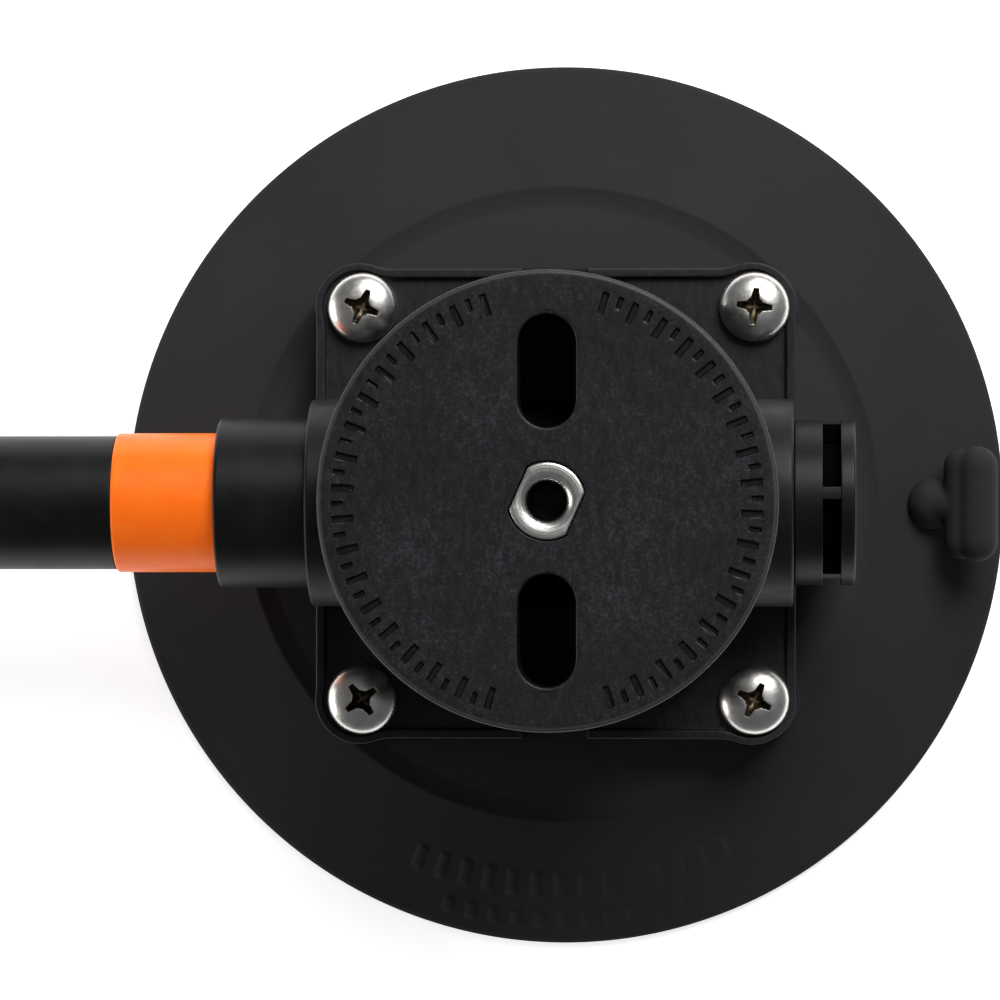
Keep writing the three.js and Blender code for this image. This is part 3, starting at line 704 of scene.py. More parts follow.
def vacuum_pad():
    shell = Shell()
    start, end = MARK_ROWS[0][2:4]
    dense = math.radians(start - MARK_MARGIN), math.radians(end + MARK_MARGIN)
    angles = turns(240, *dense) + turns(220, dense[1], dense[0] + TAU)
    roof_edge = ROOF_R - 4
    slope = (hub_z - MARKS_OUT[1]) / (MARKS_OUT[0] - CREST_R)
    marks_in = (MARKS_IN_R, MARKS_OUT[1] + slope * (MARKS_OUT[0] - MARKS_IN_R))
    under = [(roof_edge, ROOF_Z), (ROOF_R, ROOF_Z, 1.5)] + RIM_UNDERSIDE
    under += [(pad_r, 0.0, 0.35), (pad_r, RIM_H, 0.5), FLANGE_FOOT]
    crown = [marks_in, (CREST_R, hub_z, 1.3), (DISH_R, hub_z - DISH_DEPTH, 2.4), (HUB_R, hub_z, 1.5)]
    crown += [(HUB_R - 4, hub_z)]
    profile = rounded(under) + points_between(MARKS_OUT, marks_in, MARKS_STEP) + rounded(crown, steps=8)
    revolve(shell, profile + [(0, hub_z)], angles=angles, lift=pad_lift)
    edge = polar(roof_edge, angles)
    foot = circle(BOSS_FOOT_R, 64)
    port = circle(PORT_R, 48, port_x)
    roof = [list(range(len(angles)))]
    roof.append(shell.ring([(x, y, ROOF_Z) for x, y in foot]))
    roof.append(shell.ring([(x, y, ROOF_Z) for x, y in port]))
    shell.cap(roof, [edge, foot, port], upward=False)
    boss = rounded([(BOSS_FOOT_R, ROOF_Z), (BOSS_R, BOSS_Z, 0.6), (0, BOSS_Z)])
    revolve(shell, boss, angles=turns(64)[::-1])
    well_low = low("port_filter").z - FILTER_GAP
    well_high = high("port_filter").z + FILTER_GAP
    well = [(PORT_R, ROOF_Z), (PORT_R, well_low), (FILTER_WELL_R, well_low), (FILTER_WELL_R, well_high),
            (0, well_high)]
    revolve(shell, well, place=at(port_x, 0), angles=turns(48))
    shell.piece("rubber_pad", RUBBER, "base", ["vacuum_pad"])


# ---- Release tab ----

TAB_VOXEL = 0.34
TAB_BAR_R = 3.5
TAB_INSIDE = 0.1  # how far the bar stays inside the CAD solid
TAB_ROOT_R = 4.35
TAB_ROOT = (4.45, 8.7)  # from the solid's left side, and height
TAB_NECK_R = (3.1, 2.4)
TAB_FLANK = (2.7, 1.3)  # to the left of the bar, and below it
TAB_FLANK_R = 3.1


def tube_between(shell, a, b, ra, rb, count=24, rings=8):
    """A tapered rod with round ends."""
    a, b = Vector(a), Vector(b)
    turn = (b - a).to_track_quat("Z", "Y").to_matrix()
    span = (b - a).length
    profile = [(0, -ra)]
    for k in range(1, rings + 1):
        angle = math.pi / 2 * (1 - k / rings)
        profile.append((ra * math.cos(angle), -ra * math.sin(angle)))
    for k in range(rings):
        angle = math.pi / 2 * k / rings
        profile.append((rb * math.cos(angle), span + rb * math.sin(angle)))
    profile.append((0, span + rb))

    def place(u, v, w):
        return tuple(a + turn @ Vector((u, v, w)))

    revolve(shell, profile, place=place, angles=turns(count))


def release_tab():
    lo, hi = low("release_tab"), high("release_tab")
    bar_x, bar_z = hi.x - TAB_BAR_R - TAB_INSIDE, hi.z - TAB_BAR_R - TAB_INSIDE
    root_x, root_z = lo.x + TAB_ROOT[0], TAB_ROOT[1]
    shell = Shell()
    tube_between(shell, (root_x, 0, root_z - 3.5), (root_x, 0, root_z), TAB_ROOT_R, TAB_ROOT_R)
    tube_between(shell, (root_x, 0, root_z + 1.2), (bar_x, 0, bar_z), *TAB_NECK_R)
    end = hi.y - TAB_BAR_R - TAB_INSIDE
    flank_x, flank_z = bar_x - TAB_FLANK[0], bar_z - TAB_FLANK[1]
    for x, z, r in ((bar_x, bar_z, TAB_BAR_R), (flank_x, flank_z, TAB_FLANK_R)):
        tube_between(shell, (x, -end, z), (x, end, z), r, r)
    tab = shell.piece("release_pull_tab", RUBBER, "base", ["release_tab"])
    bpy.context.view_layer.objects.active = tab
    tab.modifiers.clear()
    skin = tab.modifiers.new("One skin", "REMESH")
    skin.mode = "VOXEL"
    skin.voxel_size = TAB_VOXEL * MM
    soften = tab.modifiers.new("Moulded corners", "SMOOTH")
    soften.iterations = 14
    soften.factor = 0.5
    keep_result(tab)


def keep_result(obj):
    """Makes the result of an object's modifiers its mesh."""
    bpy.context.view_layer.update()
    graph = bpy.context.evaluated_depsgraph_get()
    mesh = bpy.data.meshes.new_from_object(obj.evaluated_get(graph))
    obj.modifiers.clear()
    obj.data = mesh
    mesh.polygons.foreach_set("use_smooth", [True] * len(mesh.polygons))


# ---- Housing ----

LOBE_R = lobe_edge - screw_xy
HOUSING_HALF_X = 40.8
HOUSING_HALF_Y = 40.0
LOBE_FILLET = 9.0
RIM_W = 1.6
FLOOR_Z = 22.0
TRAY_SHIFT = -0.5
NOTCH = 5.5
SCREW_POCKET_R = head_r + 0.4
PLATE_HALF_X, PLATE_HALF_Y = 40.4, 39.5
COLLAR_R = 17.4
COLLAR_LEFT, COLLAR_RIGHT = -40.9, 40.0
COLLAR_EDGE = 0.55
BARREL_HOLE = 14.45
CAP_HOLE = 13.0
CAP_HOLE_FROM = 37.3
RIB_T = 3.0
RIBS = ((9.5, 36.6, 33.6), (25.0, 27.5, 25.5))  # place along X, half width at the foot and at the head
END_WALL = (30.9, 33.4)  # the walls that close the ribs' ends, along Y
SPINE = (33.0, 8.0)
SPINE_GAP = 0.4
BOSS_TOP_R = 11.0
VALVE_POCKET = (6.2, 17.8)  # radius, and height of its roof
CARRIER_STEM_R = 1.35
CARRIER_VENTS = (4, 2.9, 0.9)  # how many, their pitch radius and their own radius


def valve_plate():
    shell = Shell()
    outlines = [lobed_square(PLATE_HALF_X, PLATE_HALF_Y, LOBE_R), circle(CARRIER_STEM_R, 24, port_x)]
    count, pitch_r, vent_r = CARRIER_VENTS
    outlines += [circle(vent_r, 16, port_x + x, y) for x, y in circle(pitch_r, count)]
    prism(shell, outlines, low("valve_plate").z, high("valve_plate").z, 0.1, 0.25)
    shell.piece("valve_carrier_plate", NYLON, "base", ["valve_plate"])


def flange_tray(shell):
    """The square flange with its raised rim, which stops at a notch in the middle of two sides."""
    stops = (-NOTCH - 0.5, -NOTCH - 0.15, -NOTCH + 0.15, 0, NOTCH - 0.15, NOTCH + 0.15, NOTCH + 0.5)
    eased, edge = 0.35, 0.4
    path = [(eased, housing_bottom), (0.1, housing_bottom + 0.1), (0, housing_bottom + eased)]
    path += rounded([(0, FLOOR_Z - 1), (0, RIM_TOP, edge), (RIM_W, RIM_TOP, edge),
                     (RIM_W, FLOOR_Z, eased), (RIM_W + 0.8, FLOOR_Z)])
    rings, outlines = [], []
    for across, w in path:
        share = min(across / RIM_W, 1)
        lobe = LOBE_R - share * (LOBE_R - SCREW_POCKET_R) - max(0.0, across - RIM_W)
        outline = lobed_square(HOUSING_HALF_X - across, HOUSING_HALF_Y - across, lobe, stops)
        outline = [(x + TRAY_SHIFT, y) for x, y in outline]
        points = []
        for x, y in outline:
            in_notch = abs(x - TRAY_SHIFT) < NOTCH and abs(y) > screw_xy
            points.append((x, y, min(w, FLOOR_Z) if in_notch else w))
        rings.append(shell.ring(points))
        outlines.append(outline)
    shell.chain(rings)
    shell.cap([rings[-1]], [outlines[-1]], upward=True)
    pocket = circle(VALVE_POCKET[0], 48, port_x)
    mouth = shell.ring([(x, y, housing_bottom) for x, y in pocket])
    shell.cap([rings[0], mouth], [outlines[0], pocket], upward=False)
    well = [(VALVE_POCKET[0], housing_bottom), VALVE_POCKET, (0, VALVE_POCKET[1])]
    revolve(shell, well, place=at(port_x, 0), angles=turns(48))


def pump_housing():
    shell = Shell()
    flange_tray(shell)
    foot = FLOOR_Z - 4 - axis_z
    collar = arc(0, 0, COLLAR_R, 0, 180, 64) + [(-COLLAR_R, foot), (COLLAR_R, foot)]
    for hole_r, start, end, f0, f1 in (
        (BARREL_HOLE, COLLAR_LEFT, CAP_HOLE_FROM, COLLAR_EDGE, 0),
        (CAP_HOLE, CAP_HOLE_FROM, COLLAR_RIGHT, 0, COLLAR_EDGE),
    ):
        prism(shell, [collar, circle(hole_r, 128)], start, end, f0, f1, along_x)
    base, head_z = FLOOR_Z - 1 - axis_z, housing_top - axis_z
    for x, foot, head in RIBS:
        outline = [(-foot, base), (foot, base), (head, head_z), (-head, head_z)]
        inner = arc(0, 0, BARREL_HOLE + 0.6, 0, 360, 96)[:-1]
        for side in (-1, 1):
            prism(shell, [outline, inner], side * x - RIB_T / 2, side * x + RIB_T / 2, 0.5, 0.5, along_x)
    wall_half_x = RIBS[0][0]
    for side in (-1, 1):
        y = sorted((side * END_WALL[0], side * END_WALL[1]))
        wall = slab_between(-wall_half_x, wall_half_x, *y, 0.3)
        prism(shell, [wall], FLOOR_Z - 1, housing_top, 0.2, 0.2)
    spine_x, spine_y = SPINE
    spine = slab_between(-spine_x, spine_x, -spine_y, spine_y, 1.5)
    prism(shell, [spine], axis_z + BARREL_HOLE + SPINE_GAP, housing_top, 0.2, 0.2)
    boss_low, boss_high = axis_z + BARREL_HOLE + 0.5, housing_top - 0.05
    revolve(shell, [(0, boss_low), (BOSS_TOP_R, boss_low), (BOSS_TOP_R, boss_high), (0, boss_high)])
    shell.piece("housing_moulding", NYLON, "base", ["pump_housing"])


# ---- Mounting plate ----

EDGE_R = 0.8
FOOT_W = 1.2  # how far the plate's flat underside stays inside its rim
SLOT_HALF = 4.7
SLOT_NEAR = 11.9
SLOT_FAR = 30.3
SLOT_EDGE = 0.45
INSERT_TURN = 66.0
INSERT_R = 6.4
INSERT_FLAT = 5.15
INSERT_EDGE = 0.12
INSERT_FIT = 0.15
SCALE_IN, SCALE_OUT = 30.9, 35.6  # the finely divided ring that holds the scale
SCALE_DEPTH = 0.55
SCALE_ARCS = ((-72.5, 74.0), (107.5, 254.0))
SCALE_PITCH = 4.35
SCALE_LINES = ((31.6, 0.5), (33.2, 0.34))  # inner radius and half width of the long and the short lines
SCALE_LINE_END = 35.1
SCALE_SOFTNESS = 0.22


def scale_depth(r, turn):
    """How deep the engraved graduation is: a long, thick line and then a short, thin one."""
    degrees = math.degrees(turn)
    for start, end in SCALE_ARCS:
        middle = (start + end) / 2
        away = (degrees - middle + 180) % 360 - 180
        if abs(away) > (end - start) / 2 + 1:
            continue
        count = round((end - start) / SCALE_PITCH)
        index = min(count, max(0, round((away + (end - start) / 2) / SCALE_PITCH)))
        here = -(end - start) / 2 + index * (end - start) / count
        across = math.radians(away - here) * r
        inner, half_w = SCALE_LINES[index % 2]
        edge = min(half_w - abs(across), r - inner, SCALE_LINE_END - r)
        return smooth_step(edge / SCALE_SOFTNESS + 0.5)
    return 0.0


def two_flats(d, count=160):
    """The insert's outline grown by d: a round cut by two flats."""
    out = []
    turn = math.radians(INSERT_TURN)
    for a in turns(count):
        u = (INSERT_R + d) * math.cos(a)
        v = (INSERT_R + d) * math.sin(a)
        v = max(-INSERT_FLAT - d, min(INSERT_FLAT + d, v))
        out.append((u * math.cos(turn) - v * math.sin(turn), u * math.sin(turn) + v * math.cos(turn)))
    return out


def engraving(r, w, turn):
    on_face = w >= plate_top - 1e-6 and r <= SCALE_OUT
    return -SCALE_DEPTH * scale_depth(r, turn) if on_face else 0


def mount_plate():
    shell = Shell()
    angles = turns(1440)
    foot_r = plate_r - FOOT_W
    rim = rounded([(foot_r, plate_bottom), (plate_r, plate_bottom, 0.8), (plate_r, plate_top, EDGE_R),
                   (SCALE_OUT, plate_top)], 6)
    scale = points_between((SCALE_OUT, plate_top), (SCALE_IN, plate_top), 0.2)
    revolve(shell, rim[:-1] + scale + [(SCALE_IN, plate_top)], angles=angles, lift=engraving)
    count = len(shell.points)
    top_loops, top_outlines = [list(range(count - len(angles), count))], [polar(SCALE_IN, angles)]
    bottom_loops, bottom_outlines = [list(range(len(angles)))], [polar(foot_r, angles)]
    slot = stadium(SLOT_HALF, SLOT_NEAR, SLOT_FAR)
    opposite = [(-x, -y) for x, y in slot]
    for opening, f in ((slot, SLOT_EDGE), (opposite, SLOT_EDGE), (two_flats(INSERT_FIT), INSERT_EDGE)):
        loop = opening[::-1]
        last = None
        levels = [(f + 0.3, plate_top)]
        for k in range(5):
            a = math.pi / 2 * k / 4
            levels.append((f * (1 - math.sin(a)), plate_top - f * (1 - math.cos(a))))
        for d, w in levels:
            outline = inset(loop, d) if d > 1e-6 else loop
            ring = shell.ring([(x, y, w) for x, y in outline])
            if last:
                shell.bridge(ring, last)
            else:
                top_loops.append(ring)
                top_outlines.append(outline)
            last = ring
        foot = shell.ring([(x, y, plate_bottom) for x, y in loop])
        shell.bridge(foot, last)
        bottom_loops.append(foot)
        bottom_outlines.append(loop)
    shell.cap(top_loops, top_outlines, upward=True)
    shell.cap(bottom_loops, bottom_outlines, upward=False)
    shell.piece("slotted_mount_plate", PLATE, "base", ["mount_plate"])


INSERT_MOUTH_R = 4.35
INSERT_BORE_R = 3.2
INSERT_CHAMFER = ((1, 0.45), (0.985, 0.2), (0.95, 0.04), (0.93, 0))  # scale of the outline, and depth
THREAD_PITCH = 1.27
THREAD_DEPTH = 0.45
THREAD_STEPS = 90


def threaded_insert():
    """A turned stainless insert with two flats, a chamfered mouth and a helical thread."""
    shell = Shell()
    top, count = plate_top, 160
    flange_low, flange_top = low("threaded_insert").z, housing_top
    outline = two_flats(0, count)
    turn = math.radians(INSERT_TURN)
    angles = turns(count, turn, turn + TAU)

    def flats_ring(scale, w):
        return shell.ring([(x * scale, y * scale, w) for x, y in outline])

    def round_ring(r, w):
        return shell.ring([(x, y, w) for x, y in polar(r, angles)])

    body = [flats_ring(1, flange_top)] + [flats_ring(scale, top - drop) for scale, drop in INSERT_CHAMFER]
    rings = [body[-1], round_ring(INSERT_MOUTH_R, top)]
    start = top - (INSERT_MOUTH_R - INSERT_BORE_R) * 0.8
    for k in range(THREAD_STEPS + 1):
        w = start - (start - flange_low) * k / THREAD_STEPS
        points = []
        for a in angles:
            phase = (w / THREAD_PITCH + a / TAU) % 1
            groove = abs(2 * phase - 1)
            fade = smooth_step((start - w) / 0.8)
            r = INSERT_BORE_R + 0.05 - THREAD_DEPTH * fade * (1 - groove)
            points.append((r * math.cos(a), r * math.sin(a), w))
        rings.append(shell.ring(points))
    flange_r = (high("threaded_insert").x - low("threaded_insert").x) / 2
    under = [rings[-1], round_ring(flange_r, flange_low), round_ring(flange_r, flange_top), body[0]]
    for rings in (body, rings, under):
        shell.chain(rings)
    insert = shell.piece("quarter_inch_insert", TURNED, "base", ["threaded_insert"], sharp=50)
    # The thread takes CAVITY: painted shade in the bore
    insert.data.materials.append(CAVITY)
    for face in insert.data.polygons:
        x, y, z = face.center / MM
        face.material_index = int(math.hypot(x, y) < INSERT_BORE_R + 0.2 and z < start + 0.1)


# ---- Screws ----

RECESS_ARM = 3.1
RECESS_HALF_W = 0.56
RECESS_DEPTH = 2.4
RECESS_WAIST = ((1.40, 0.72), (1.07, 1.07), (0.72, 1.40))
RECESS_TURNS = (68, 84, 36, 64)
SHANK_R = 2.9
SEAT_GAP = 0.05
HEAD_WALL = 0.9
DOME_POWERS = (0.92, 0.95)  # how square the dome is across and up


def recess_outline(k):
    """A cross with tapering arms and filleted corners, k times full size."""
    quarter = [
        (RECESS_ARM * k, -RECESS_HALF_W * (0.35 + 0.45 * k)),
        (RECESS_ARM * k, RECESS_HALF_W * (0.35 + 0.45 * k)),
        *((x * k, y * k) for x, y in RECESS_WAIST),
    ]
    out = []
    for i in range(4):
        turn = Matrix.Rotation(math.pi / 2 * i, 2)
        out += [tuple(turn @ Vector(p)) for p in quarter]
    return out


def inside_recess(centre):
    """Whether a face of the screw, by its centre in millimetres, belongs to the recess."""
    reach = math.hypot(centre.x, centre.y)
    return reach < RECESS_ARM + 0.3 and FLOOR_Z < centre.z < dome_height(reach) - 0.12


def dome_height(r):
    """Height of the head's rounded top at a radius."""
    across, up = DOME_POWERS
    a = math.acos(min(1.0, r / head_r) ** (1 / across))
    shoulder = FLOOR_Z + SEAT_GAP + HEAD_WALL
    return shoulder + (head_top - shoulder) * math.sin(a) ** up


def head_cutter():
    shell = Shell()
    foot = head_top - RECESS_DEPTH
    levels = [(1.12, head_top + 0.6), (1.0, head_top - 0.3), (0.62, foot), (0.25, foot - 0.5)]
    rings = [shell.ring([(x, y, w) for x, y in recess_outline(k)]) for k, w in levels[::-1]]
    shell.chain(rings)
    shell.cap([rings[0]], [recess_outline(levels[-1][0])], upward=False)
    shell.cap([rings[-1]], [recess_outline(levels[0][0])], upward=True)
    return shell


def screw_mesh():
    under = FLOOR_Z + SEAT_GAP
    tip = low("housing_screw_1").z
    across, up = DOME_POWERS
    dome = [(head_r, under + HEAD_WALL)]
    for k in range(1, 15):
        a = math.pi / 2 * k / 14
        rise = (head_top - under - HEAD_WALL) * math.sin(a) ** up
        dome.append((head_r * math.cos(a) ** across, under + HEAD_WALL + rise))
    dome[-1] = (0, head_top)
    profile = rounded([(0, tip), (SHANK_R - 0.5, tip, 0.1), (SHANK_R, tip + 0.6, 0.1),
                       (SHANK_R, under, 0.05), (head_r - 0.2, under)], 2)
    profile += [(head_r, under + 0.2)] + dome
    shell = Shell()
    revolve(shell, profile, angles=turns(72))
    head = shell.object("screw_blank")
    cutter = head_cutter().object("screw_cutter")
    cut = head.modifiers.new("Recess", "BOOLEAN")
    cut.object = cutter
    cut.operation = "DIFFERENCE"
    cut.solver = "EXACT"
    bevel = head.modifiers.new("Eased edges", "BEVEL")
    bevel.width = 0.09 * MM
    bevel.segments = 2
    bevel.limit_method = "ANGLE"
    bevel.angle_limit = math.radians(38)
    keep_result(head)
    mesh = head.data
    bpy.data.objects.remove(head)
    bpy.data.objects.remove(cutter)
    mesh.set_sharp_from_angle(angle=math.radians(45))
    mesh.materials.append(STAINLESS)
    # RECESS holds the recess's dark residue and painted shade
    mesh.materials.append(RECESS)
    for face in mesh.polygons:
        face.material_index = int(inside_recess(face.center / MM))
    return mesh


def screws():
    mesh = screw_mesh()
    for i, turn in enumerate(RECESS_TURNS):
        node = f"housing_screw_{i + 1}"
        middle = (low(node) + high(node)) / 2
        own = mesh.copy()
        place = Matrix.Translation((middle.x * MM, middle.y * MM, 0))
        own.transform(place @ Matrix.Rotation(math.radians(turn), 4, "Z"))
        obj = add_object(f"pan_head_screw_{i + 1}", own)
        shade_evenly(obj)
        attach(obj, "base")
        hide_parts(node)


# ---- Pump ----

BORE_R = 12.9
STEM_HOLE_R = 1.35
WALL = (27.5, 30.5)
RING_GROOVE = (-55.4, -54.2, 13.5)  # from, to, radius
PLAY = 0.1  # what a seat is wider than the piece in it, on each side
BUSH_BORE_R = 11.9
RING_R = (11.98, 13.35)
RING_HALF_GAP = 15.5  # degrees
PLUNGER_R = 11.25
PLUNGER_BORE = (8.3, -98.0)  # radius, and where it ends
THUMB_HOLLOW = (6.2, 8.4, 1.1)  # radius of its floor and of its edge, and depth
BAND_SEAT_R = 10.3
SEAL_SEAT_R = 10.2
SEAL_LIPS = (0.7, 1.9)  # half width and depth of the groove between the lips
GUIDE_LAND, PISTON_LAND = 4, 2.5
WIRE_R, COIL_R = 0.7, 6.95
COILS, WIRE_SIDES, STEPS_PER_COIL = 17, 10, 40
COIL_CROWDING = 0.012


def turned_piece(name, profile, material, node, body="base", closed=True, count=160):
    shell = Shell()
    revolve(shell, profile, place=along_x, angles=turns(count), closed=closed)
    return shell.piece(name, material, body, [node])


def pump_barrel():
    mouth, end = ends("pump_barrel")
    r = radius("pump_barrel")
    g0, g1, gr = RING_GROOVE
    profile = rounded(
        [(BORE_R, mouth, 0.3), (BORE_R, g0), (gr, g0), (gr, g1), (BORE_R, g1), (BORE_R, WALL[0]),
         (STEM_HOLE_R, WALL[0], 0.1), (STEM_HOLE_R, WALL[1], 0.1), (BORE_R, WALL[1]), (BORE_R, end),
         (r, end, 0.2), (r, mouth, 0.7)][::-1],
        4, closed=True,
    )
    turned_piece("barrel_tube", profile, ACETAL, "pump_barrel")


def mouth_parts():
    lo, hi = ends("guide_bush")
    outer = radius("guide_bush")
    bush = rounded([(outer, lo, 0.2), (outer, hi, 0.2), (BUSH_BORE_R, hi, 0.3), (BUSH_BORE_R, lo, 0.4)],
                   3, closed=True)
    turned_piece("plunger_bush", bush, ACETAL, "guide_bush")
    lo, hi = ends("retaining_ring")
    inner, outer = RING_R
    gap = math.radians(RING_HALF_GAP)
    shell = Shell()
    corners = [(outer, lo, 0.1), (outer, hi, 0.1), (inner, hi, 0.1), (inner, lo, 0.1)]
    section = rounded(corners, 2, closed=True)
    angles = [-math.pi / 2 + gap + (TAU - 2 * gap) * i / 96 for i in range(97)]
    rings = [shell.ring([along_x(*p, w) for p in polar(r, angles)]) for r, w in section]
    shell.chain(rings + rings[:1], around=False)
    shell.faces.append(tuple(ring[0] for ring in rings))
    shell.faces.append(tuple(ring[-1] for ring in rings[::-1]))
    shell.piece("bush_retaining_ring", SPRING_STEEL, "base", ["retaining_ring"])


def plunger():
    end, front = ends("plunger")
    r, head = PLUNGER_R, radius("plunger")
    band_0, band_1 = low("indicator_band").x - PLAY, high("indicator_band").x + PLAY
    seal_0, seal_1 = low("piston_seal").x - PLAY, high("piston_seal").x + PLAY
    guide_0 = high("guide_bush").x + 0.2
    guide_1 = guide_0 + GUIDE_LAND
    piston = seal_0 - PISTON_LAND
    bore, bore_floor = PLUNGER_BORE
    hollow_floor, hollow_edge, hollow = THUMB_HOLLOW
    profile = rounded(
        [(0, end + hollow), (hollow_floor, end + hollow, 2.0), (hollow_edge, end, 1.0), (r, end, 2.4),
         (r, band_0, 0.15), (BAND_SEAT_R, band_0), (BAND_SEAT_R, band_1), (r, band_1, 0.1),
         (r, guide_0), (head, guide_0, 0.2), (head, guide_1, 0.2), (r, guide_1),
         (r, piston), (head, piston, 0.2), (head, seal_0), (SEAL_SEAT_R, seal_0), (SEAL_SEAT_R, seal_1),
         (head, seal_1), (head, front, 0.3), (bore, front, 0.3), (bore, bore_floor), (0, bore_floor)],
        5,
    )
    turned_piece("thumb_plunger", profile, ACETAL, "plunger", "plunger", closed=False)
    outer, inner = radius("indicator_band"), BAND_SEAT_R + 0.1
    lo, hi = ends("indicator_band")
    band = rounded([(outer, lo, 0.7), (outer, hi, 0.3), (inner, hi), (inner, lo)], 5, closed=True)
    turned_piece("orange_indicator_band", band, ORANGE, "indicator_band", "plunger")


def piston_lip_seal():
    lo, hi = ends("piston_seal")
    inner, outer = BAND_SEAT_R, radius("piston_seal")
    middle = (inner + outer) / 2
    half_w, depth = SEAL_LIPS
    section = rounded(
        [(inner, hi, 0.1), (middle - half_w, hi, 0.2), (middle, hi - depth, 0.3),
         (middle + half_w, hi, 0.2), (outer, hi, 0.2), (outer - 0.15, lo, 0.3), (inner, lo, 0.2)],
        3, closed=True,
    )
    turned_piece("piston_lip_seal", section[::-1], SEAL, "piston_seal", "plunger")


def plunger_spring():
    lo, hi = low("plunger_spring"), high("plunger_spring")
    shell = Shell()
    start, end = lo.x + WIRE_R, hi.x - WIRE_R
    rings = []
    steps = COILS * STEPS_PER_COIL
    for i in range(steps + 1):
        t = i / steps
        a = TAU * COILS * t
        squeeze = t + COIL_CROWDING * math.sin(TAU * t)
        radial = Vector((0, math.sin(a), math.cos(a)))
        middle = Vector((start + (end - start) * squeeze, 0, axis_z)) + radial * COIL_R
        ring = []
        for k in range(WIRE_SIDES):
            b = TAU * k / WIRE_SIDES
            along = Vector((WIRE_R * math.sin(b), 0, 0))
            ring.append(tuple(middle + radial * WIRE_R * math.cos(b) + along))
        rings.append(shell.ring(ring))
    for a, b in zip(rings, rings[1:]):
        shell.bridge(b, a)
    shell.faces.append(tuple(rings[0]))
    shell.faces.append(tuple(rings[-1][::-1]))
    spring = shell.piece("return_spring", SPRING_STEEL, "base", ["plunger_spring"])
    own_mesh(spring)


CAP_BORE_R = 10.6
CAP_BAFFLE_R = 10.3
CAP_BAFFLE_DEPTH = 1.5
CAP_WINDOW = (44.8, 47.8)
CAP_DISH = (9.9, 9.3, 0.8)  # radius of its edge and of its floor, and depth
CAP_DIMPLE = (3.0, 2.4, 1.3)
CAP_RIBS = 5
CAP_RIB_HALF_W = 1
CAP_RIB_TURN = 6.3


def vent_cap():
    lo, hi = ends("vent_cap")
    r, bore, spigot, baffle = radius("vent_cap"), CAP_BORE_R, BORE_R - 0.15, CAP_BAFFLE_R
    near, far = CAP_WINDOW
    flange = COLLAR_RIGHT + 0.1
    shell = Shell()
    sleeve = rounded([(bore, lo, 0.3), (bore, near, 0.15), (r, near, 0.2), (r, flange, 0.25),
                      (spigot, flange), (spigot, lo, 0.4)], 4, closed=True)
    revolve(shell, sleeve[::-1], place=along_x, angles=turns(160), closed=True)
    dish_edge, dish_floor, dish = CAP_DISH
    dimple_edge, dimple_floor, dimple = CAP_DIMPLE
    back = near - CAP_BAFFLE_DEPTH
    lid = rounded([(0, back), (baffle, back, 0.4), (baffle, far), (r, far, 0.2), (r, hi, 0.6),
                   (dish_edge, hi, 0.4), (dish_floor, hi - dish, 0.3), (dimple_edge, hi - dish, 0.2),
                   (dimple_floor, hi - dimple, 0.2), (0, hi - dimple)])
    revolve(shell, lid, place=along_x, angles=turns(160))
    w = CAP_RIB_HALF_W
    section = ((bore, -w), (r - 0.25, -w), (r - 0.12, 0), (r - 0.25, w), (bore, w))
    for i in range(CAP_RIBS):
        turn = math.radians(90 - CAP_RIB_TURN - 360 / CAP_RIBS * i)
        out_dir, side = Vector((math.cos(turn), math.sin(turn))), Vector((-math.sin(turn), math.cos(turn)))
        rib = [tuple(out_dir * a + side * b) for a, b in section]
        prism(shell, [rib], near - 0.3, far + 0.3, 0, 0, along_x)
    cap = shell.piece("slotted_vent_cap", ACETAL, "base", ["vent_cap"], sharp=30)
    # Faces behind the windows take CAVITY: painted shade in the vent
    cap.data.materials.append(CAVITY)
    for face in cap.data.polygons:
        x, y, z = face.center / MM
        behind = math.hypot(y, z - axis_z) < r - 0.35 and near - 0.01 < x < far + 0.01
        face.material_index = int(behind)


def inner_parts():
    """CAD pieces whose shape is right as it is: they only need their finish."""
    finishes = {
        "backing_plate": (ALUMINIUM, "backing_aluminium"),
        "port_filter": (FELT, "filter_felt"),
        "inlet_valve": (SEAL, "seal_rubber"),
        "exhaust_valve": (SEAL, "seal_rubber"),
        "port_seal": (SEAL, "seal_rubber"),
        "barrel_seal_1": (SEAL, "seal_rubber"),
        "barrel_seal_2": (SEAL, "seal_rubber"),
    }
    for node, (material, slot) in finishes.items():
        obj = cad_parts[node]
        obj.data.materials.clear()
        obj.data.materials.append(material)


# ---- Stage ----

CAMERA_AT = (39.9, -8.7, 928.4)
CAMERA_TILT = (0.587, 3.148, 0.03)
LENS = 191.9

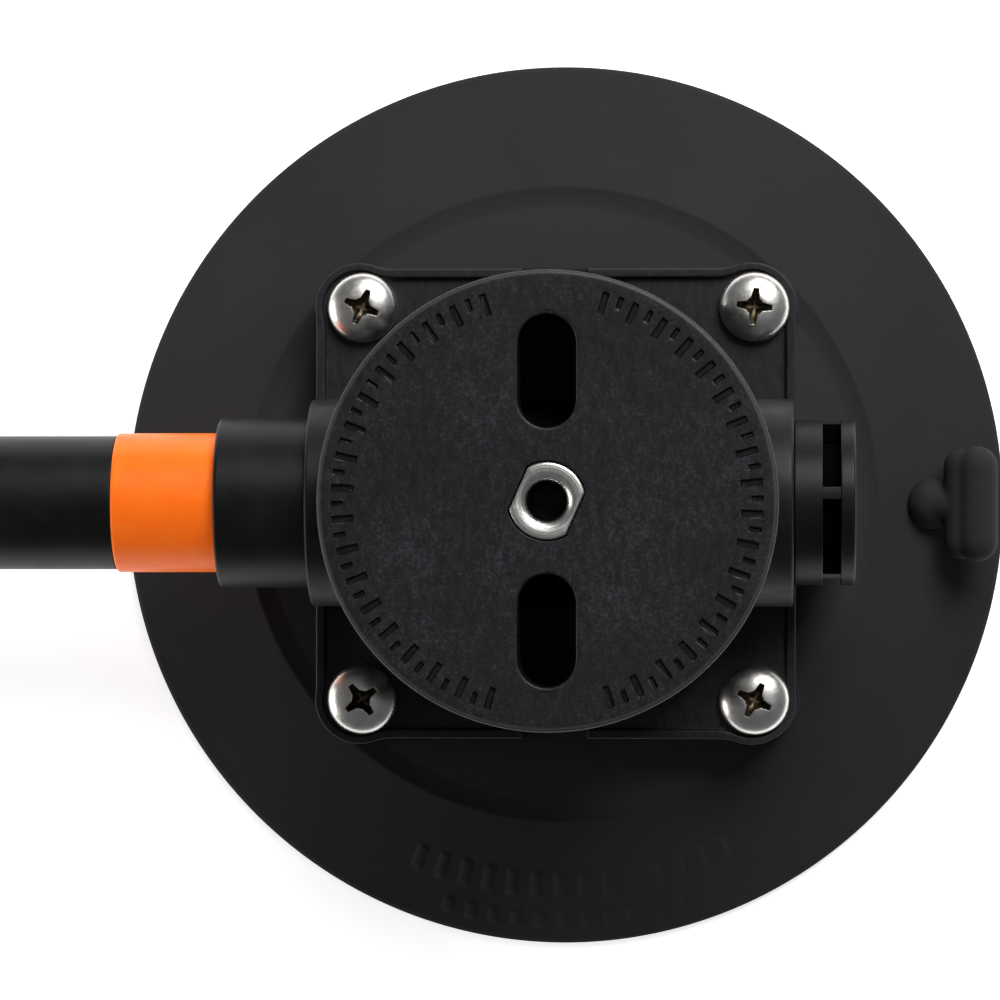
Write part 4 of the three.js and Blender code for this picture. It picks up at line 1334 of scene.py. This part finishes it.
# Name, azimuth, elevation, distance in metres, size in metres, power in watts and colour
LIGHTS = (
    ("key", 65, 45, 1.7, (0.9, 0.9), 29, (1, 1, 1)),
    ("left", 188, 11, 1.7, (1.1, 0.5), 11, (1.0, 0.97, 0.92)),
    ("top", 20, 74, 1.7, (1.2, 1.2), 0.6, (1, 1, 1)),
)
SKY, SKY_STRENGTH = (0.9, 0.95, 1.0, 1), 0.1
FLOOR_HALF = 3000
FLOOR_DROP = -0.03
FLOOR_GLOW = 0.75


def camera():
    data = bpy.data.cameras.new("camera")
    data.lens = LENS
    data.sensor_width = 36
    data.clip_end = 20
    obj = add_object("camera", data)
    obj.location = Vector(CAMERA_AT) * MM
    obj.rotation_euler = [math.radians(a) for a in CAMERA_TILT]
    bpy.context.scene.camera = obj


def soft_light(name, azimuth, elevation, distance, size, power, colour):
    data = bpy.data.lights.new(name, "AREA")
    data.shape = "RECTANGLE"
    data.size, data.size_y = size
    data.energy = power
    data.color = colour
    obj = add_object(name, data)
    a, e = math.radians(azimuth), math.radians(elevation)
    place = Vector((math.cos(a) * math.cos(e), math.sin(a) * math.cos(e), math.sin(e))) * distance
    obj.location = place
    obj.rotation_euler = place.to_track_quat("Z", "Y").to_euler()
    obj.visible_camera = False


def floor():
    shell = Shell()
    square = ((-1, -1), (1, -1), (1, 1), (-1, 1))
    corners = [(x * FLOOR_HALF, y * FLOOR_HALF, FLOOR_DROP) for x, y in square]
    shell.faces.append(tuple(shell.ring(corners)))
    obj = shell.object("floor")
    f = Finish("floor", Roughness=0.9, Base_Color=(0.9, 0.9, 0.9, 1), Emission_Strength=FLOOR_GLOW)
    f.shader.inputs["Emission Color"].default_value = (1, 1, 1, 1)
    f.roughness(f.noise(40.0), 0.85, 0.95)
    obj.data.materials.append(f.material)


def studio():
    world = bpy.data.worlds.new("studio")
    world.use_nodes = True
    background = world.node_tree.nodes["Background"]
    background.inputs["Color"].default_value = SKY
    background.inputs["Strength"].default_value = SKY_STRENGTH
    bpy.context.scene.world = world
    bpy.context.scene.view_settings.view_transform = "Standard"
    for light in LIGHTS:
        soft_light(*light)


vacuum_pad()
release_tab()
valve_plate()
pump_housing()
mount_plate()
threaded_insert()
screws()
pump_barrel()
mouth_parts()
plunger()
piston_lip_seal()
plunger_spring()
vent_cap()
inner_parts()
camera()
floor()
studio()
